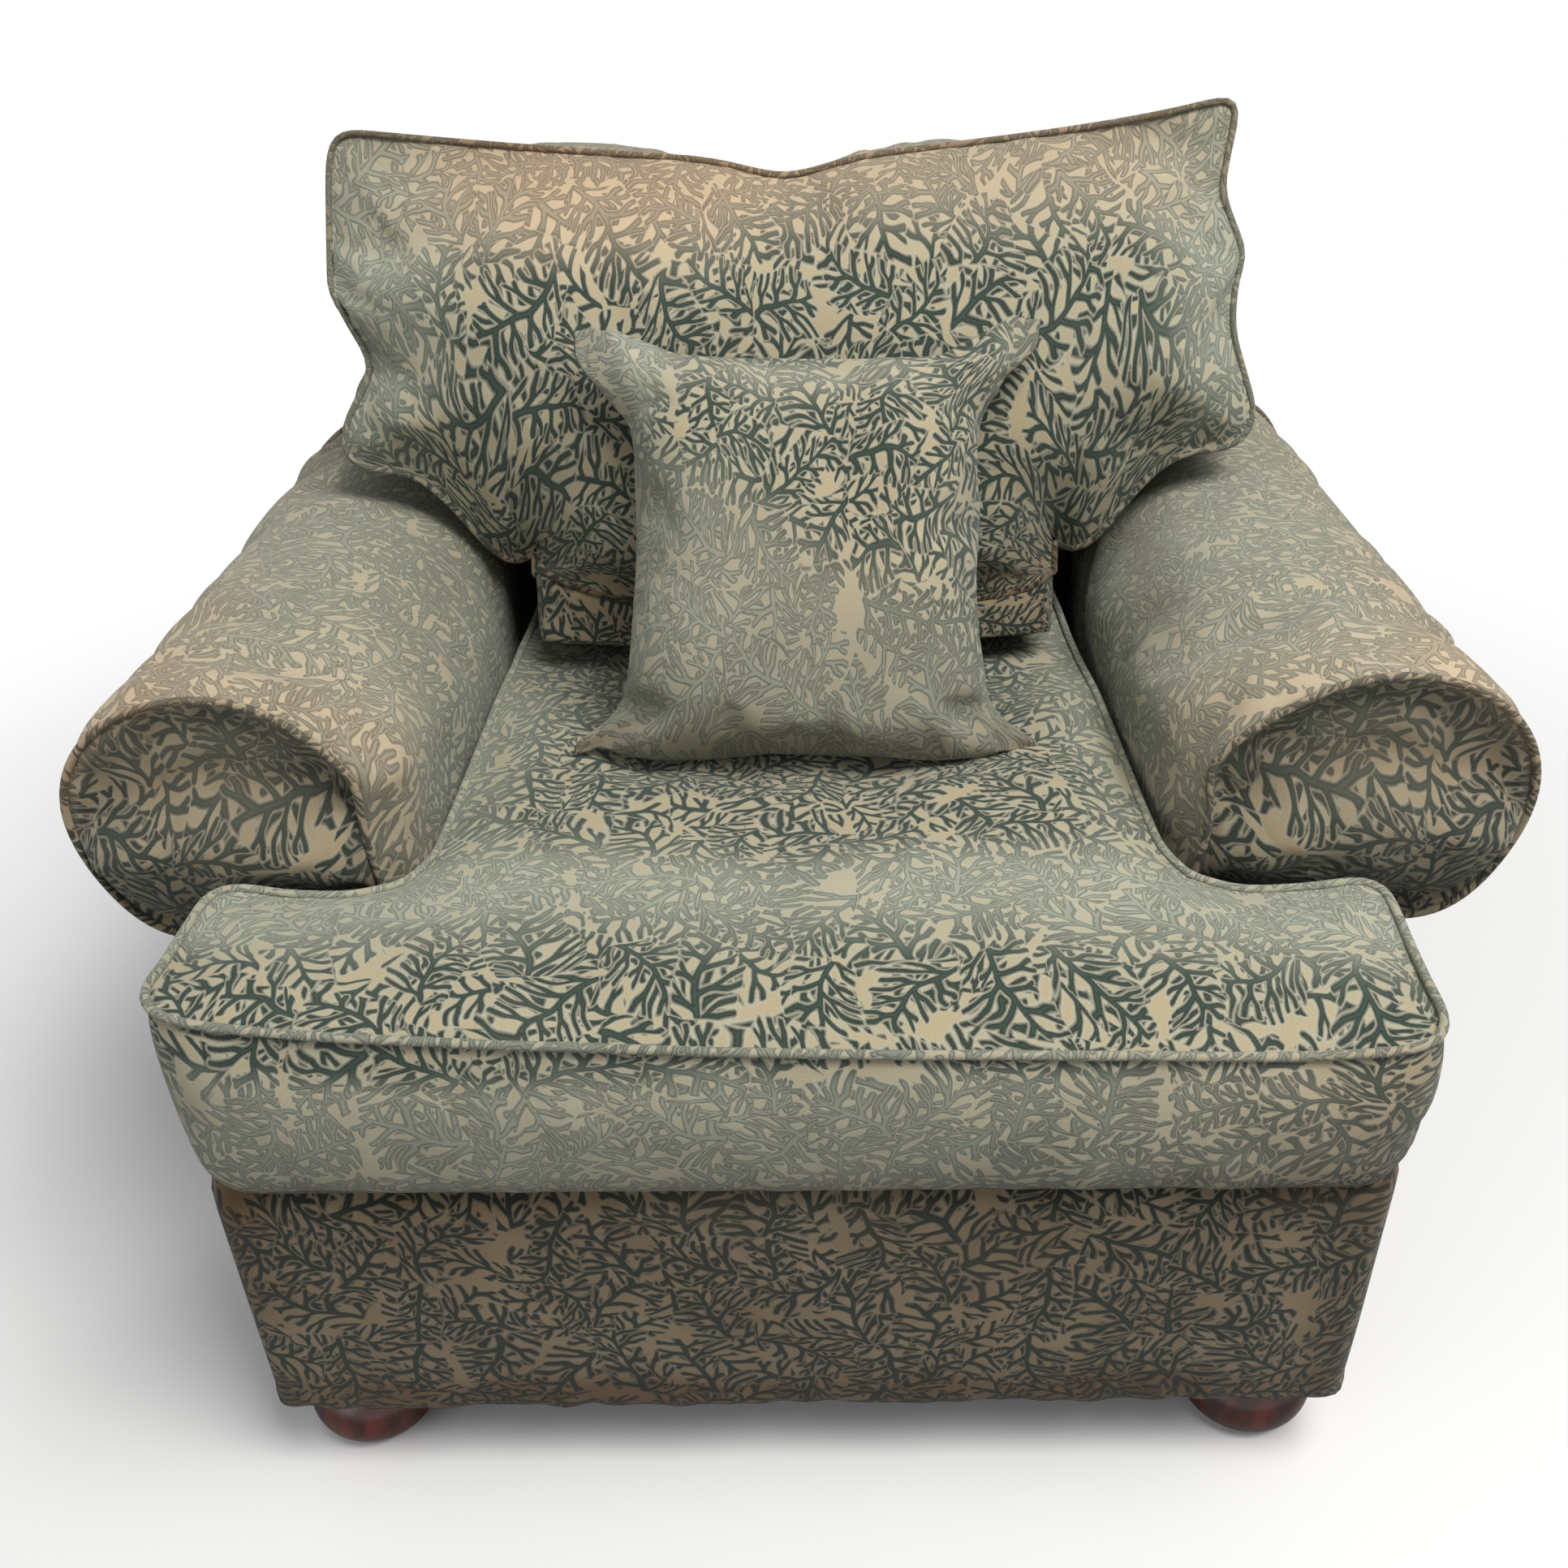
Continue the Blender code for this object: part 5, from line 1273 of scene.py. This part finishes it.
flat = np.stack(np.broadcast_arrays(pad_x, -run_along(front_path)[:, None]), -1)
thin_cover("back_pad_cover", (outside, inside), pad_layout, 3, flat, 0.04, (6.4, 1.9), "inside_back", 0.7)
print("inside back notch row", notch, "of", len(down))

# %% Side strips of the back
rows, columns = 21, 6
pad_lean, strip_thickness = 0.0977, 0.0080
strip_z = np.linspace(0.600, 0.7990, rows)
strip_front, strip_rear = 0.3722 + (strip_z - pad_foot) * pad_lean, 0.4040 + (strip_z - rake_from) * rake
strip_y = strip_front[:, None] + (strip_rear - strip_front)[:, None] * np.linspace(0, 1, columns)
strip_z = np.broadcast_to(strip_z[:, None], strip_y.shape)
strip_layout = boxed_layout(rows, columns, rows - 1, (0, columns - 1))
for side, name in ((-1, "left"), (1, "right")):
    outside = np.stack([np.full(strip_y.shape, side * 0.4335), strip_y, strip_z], -1)
    inside = outside - [side * strip_thickness, 0, 0]
    bands = rings_between(outside, inside, strip_layout[3], 1)
    flat = np.stack([side * strip_y, strip_z], -1)
    strip, _, _ = boxed_body(f"back_side_{name}", outside, inside, strip_layout, bands, flat, strip_thickness,
                             panel_wear, coral_cloth, shift=(7.1, side))
    declare(strip, "coral_cloth")

# %% [markdown]
# ## Under the seat cushion
# The deck is a felt pad over the springs. Little of it is seen, but it has to fill the gaps beside the
# cushion with the right dull colour. A thin black cloth closes the frame from below; its middle hangs a
# little.

# %% Simple finishes
def plain_material(name, colour, second, roughness, scale, metallic=0.0, bump=0.3, stretch=(1, 1, 1),
                   coat=0.0):
    """A finish of two colours blended by noise, read from object coordinates and stretched along an axis."""
    made, tree, shader = new_material(name)
    place = node_of(tree, "ShaderNodeTexCoord").outputs["Object"]
    place = node_of(tree, "ShaderNodeMapping", Vector=place, Scale=stretch).outputs[0]
    noise = node_of(tree, "ShaderNodeTexNoise", Vector=place, Scale=scale, Detail=5.0, Roughness=0.6)
    noise = noise.outputs[0]
    share = ramp(tree, noise, 0.35, 0.65)
    link(tree, mixed(tree, share, linear(*colour), linear(*second)), shader.inputs["Base Color"])
    link(tree, ramp(tree, noise, 0.3, 0.7, roughness * 0.85, roughness), shader.inputs["Roughness"])
    shader.inputs["Metallic"].default_value = metallic
    shader.inputs["Coat Weight"].default_value = coat
    shader.inputs["Coat Roughness"].default_value = 0.12
    raised = node_of(tree, "ShaderNodeBump", Height=noise, Distance=0.0005, Strength=bump)
    link(tree, raised.outputs[0], shader.inputs["Normal"])
    return made


felt = plain_material("felt", (120, 112, 96), (96, 88, 74), 0.95, 220.0)
timber = plain_material("frame_timber", (196, 160, 116), (168, 130, 88), 0.7, 30.0, stretch=(0.25, 4, 4))
steel = plain_material("spring_steel", (120, 116, 110), (92, 86, 80), 0.45, 160.0, metallic=1.0)
webbing = plain_material("webbing", (62, 52, 44), (44, 38, 32), 0.9, 400.0)
black_cloth = plain_material("dust_cloth", (26, 26, 26), (36, 35, 34), 0.9, 700.0)
mahogany = plain_material("foot_mahogany", (104, 42, 27), (52, 20, 14), 0.30, 26.0, bump=0.1,
                          stretch=(3, 3, 0.7), coat=0.25)

# %% Deck
near_cells, far_cells, ear_cells, inner_cells = 12, 36, 12, 36
deck_top_z, deck_low_z = 0.3335, 0.2630
deck_rows = rows_between(-0.4085, -0.2505, 0.2495, near_cells, far_cells)
deck_x = t_columns(ear_cells, inner_cells, np.full(len(deck_rows), 0.4240), seat_half(deck_rows) - 0.0005)
deck_y = np.broadcast_to(deck_rows[:, None], deck_x.shape)
deck_layout = boxed_layout(*deck_x.shape, near_cells, (ear_cells, ear_cells + inner_cells))
deck_dip = 0.017 * np.clip(1 - (deck_x / 0.26) ** 2, 0, 1) * np.clip(1 - (deck_y / 0.24) ** 2, 0, 1)
deck_top = np.stack([deck_x, deck_y, deck_top_z - deck_dip], -1)
deck_low = np.stack([deck_x, deck_y, deck_low_z - deck_dip], -1)
thin_cover("deck_pad", (deck_top, deck_low), deck_layout, 3, np.stack([deck_x, deck_y], -1), 0.07,
           (0.0, 0.0), "seat_deck", 0.8, slot="felt", finish=felt)

# %% Black cloth underneath
def sheet_grid(x_half, y_low, y_high, level, sag, thickness, cells=30):
    """Points and quads of a thin closed sheet whose middle hangs by sag: two grids and a rim."""
    line = np.linspace(-1, 1, cells + 1)
    across, along = np.meshgrid(line, line)
    hang = sag * np.clip(1 - across ** 2, 0, 1) * np.clip(1 - along ** 2, 0, 1)
    upper = np.stack([x_half * across, y_low + (y_high - y_low) * (along + 1) / 2, level - hang], -1)
    lower = upper - [0, 0, thickness]
    index = np.arange((cells + 1) ** 2).reshape(cells + 1, -1)
    edge = np.concatenate([index[0, :-1], index[:-1, -1], index[-1, :0:-1], index[:0:-1, 0]])
    rim = np.stack([edge, np.roll(edge, -1), np.roll(edge, -1) + index.size, edge + index.size], -1)
    faces = np.concatenate([grid_faces(index)[:, ::-1], grid_faces(index) + index.size, rim])
    return np.concatenate([upper.reshape(-1, 3), lower.reshape(-1, 3)]), faces


points, faces = sheet_grid(x_half=0.431, y_low=-0.428, y_high=0.410, level=0.0818, sag=0.006,
                           thickness=0.0006)
under_cloth = piece_from("dust_cover", points, faces, material=black_cloth)
declare(under_cloth, "dust_cloth", "dust_cloth")

# %% [markdown]
# ## Turned feet
# Each foot is a lathe shape: a profile of radius and height, turned round its axis. Each end is closed with
# a flat fan of faces that meet at the middle.

# %% Feet
foot_x, foot_front, foot_back = 0.3747, -0.3674, 0.3487
foot_lines = [(0.010, 0.1180), (0.010, 0.0802), (0.038, 0.0798), (0.0412, 0.0785), (0.0424, 0.0762),
              (0.0418, 0.0738), (0.0385, 0.0716), (0.0368, 0.0698)]
bulb = np.radians(np.linspace(54, -58, 22))
foot_lines += list(zip(0.056 * np.cos(bulb) ** 0.55, 0.029 + 0.032 * np.sin(bulb)))
foot_lines += [(0.034, 0.0008), (0.030, 0.0)]


def lathe(name, profile, x, y, material, sides=96):
    """A closed turned piece from a profile of (radius, height), with a quad fan at each end."""
    radius, height = np.array(profile).T
    angle = np.linspace(0, 2 * np.pi, sides, endpoint=False)
    ring = np.stack(np.broadcast_arrays(
        x + radius[:, None] * np.cos(angle), y + radius[:, None] * np.sin(angle), height[:, None]), -1)
    points = np.concatenate([ring.reshape(-1, 3), [[x, y, height[0]], [x, y, height[-1]]]])
    index = np.arange(len(radius) * sides).reshape(-1, sides)
    top, low = quad_fan(index[0], index.size), quad_fan(index[-1], index.size + 1)
    faces = np.concatenate([grid_faces(index, closed=True), top[:, ::-1], low])
    return piece_from(name, points, faces, material=material)


for place, y in (("front", foot_front), ("back", foot_back)):
    for side, name in ((-1, "left"), (1, "right")):
        foot = lathe(f"foot_{place}_{name}", foot_lines, side * foot_x, y, mahogany)
        declare(foot, "foot_mahogany", f"bun_foot_{place}_{name}")

# %% [markdown]
# ## What stays from the frame
# Rails, posts, blocks, springs and webbing are hidden inside. Their CAD shapes are right as they are, so
# they only get a finish. The frame's own nodes are never moved or reshaped.

# %% Finishes of the hidden pieces
finishes = {"seat_spring": steel, "back_web": webbing, "back_cross_web": webbing}
for name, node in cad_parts.items():
    finish = next((found for start, found in finishes.items() if name.startswith(start)), timber)
    node.data.materials.clear()
    node.data.materials.append(finish)
print("finished", len(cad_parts), "nodes")

# %% [markdown]
# ## Light and floor
# The chair stands on a white ground in soft light, with the main light high on the right and in front. The
# floor is a plain pale plane that catches the shadow and turns white further off. Straight camera rays that
# miss it see white, and so do reflections, while the light that the surroundings give to the cloth is
# dimmer.

# %% Floor
floor_reach, floor_z = 40.0, -0.0005
floor_mesh = bpy.data.meshes.new("floor")
floor_corners = [(x * floor_reach, y * floor_reach, floor_z) for x, y in ((-1, -1), (1, -1), (1, 1), (-1, 1))]
floor_mesh.from_pydata(floor_corners, [], [(0, 1, 2, 3)])
floor = bpy.data.objects.new("floor", floor_mesh)
scene.collection.objects.link(floor)
floor_finish, tree, surface = new_material("floor")
surface.inputs["Roughness"].default_value = 0.6
surface.inputs["Specular IOR Level"].default_value = 0.2
spot = node_of(tree, "ShaderNodeTexCoord").outputs["Object"]
length = node_of(tree, "ShaderNodeVectorMath", [("operation", "LENGTH")])
link(tree, spot, length.inputs[0])
far = ramp(tree, length.outputs["Value"], 0.75, 1.7)
camera_ray = tree.nodes.new("ShaderNodeLightPath").outputs["Is Camera Ray"]
floor_colour = mixed(tree, camera_ray, (0.30, 0.30, 0.30, 1.0), (0.86, 0.86, 0.86, 1.0))
link(tree, floor_colour, surface.inputs["Base Color"])
glow = node_of(tree, "ShaderNodeEmission", Color=(1.0, 1.0, 1.0, 1.0), Strength=1.0)
blend = tree.nodes.new("ShaderNodeMixShader")
link(tree, calc(tree, "MULTIPLY", far, camera_ray), blend.inputs[0])
tree.links.new(surface.outputs[0], blend.inputs[1])
tree.links.new(glow.outputs[0], blend.inputs[2])
tree.links.new(blend.outputs[0], tree.nodes["Material Output"].inputs["Surface"])
floor_mesh.materials.append(floor_finish)

# %% Lights
def area_light(name, place, target, size, power, colour):
    """A square lamp at a place, turned to a target."""
    data = bpy.data.lights.new(name, "AREA")
    data.size = size
    data.energy = power
    data.color = colour
    lamp = bpy.data.objects.new(name, data)
    lamp.location = place
    aim = Vector(target) - Vector(place)
    lamp.rotation_euler = aim.to_track_quat("-Z", "Y").to_euler()
    scene.collection.objects.link(lamp)


seat_middle = (0.0, 0.0, 0.4)
area_light("key", (1.1, -1.25, 3.5), seat_middle, size=1.7, power=126.0, colour=(1.0, 0.985, 0.96))
area_light("fill", (-2.6, -2.4, 1.9), seat_middle, size=2.4, power=18.0, colour=(0.96, 0.98, 1.0))
world = bpy.data.worlds.new("studio")
scene.world = world
world.use_nodes = True
tree = world.node_tree
back_light = tree.nodes["Background"]
path = tree.nodes.new("ShaderNodeLightPath").outputs
seen = calc(tree, "MAXIMUM", path["Is Camera Ray"], calc(tree, "MAXIMUM", path["Is Glossy Ray"],
                                                         path["Is Transmission Ray"]))
link(tree, mixed(tree, seen, (0.34, 0.345, 0.35, 1.0), (1.0, 1.0, 1.0, 1.0)), back_light.inputs["Color"])
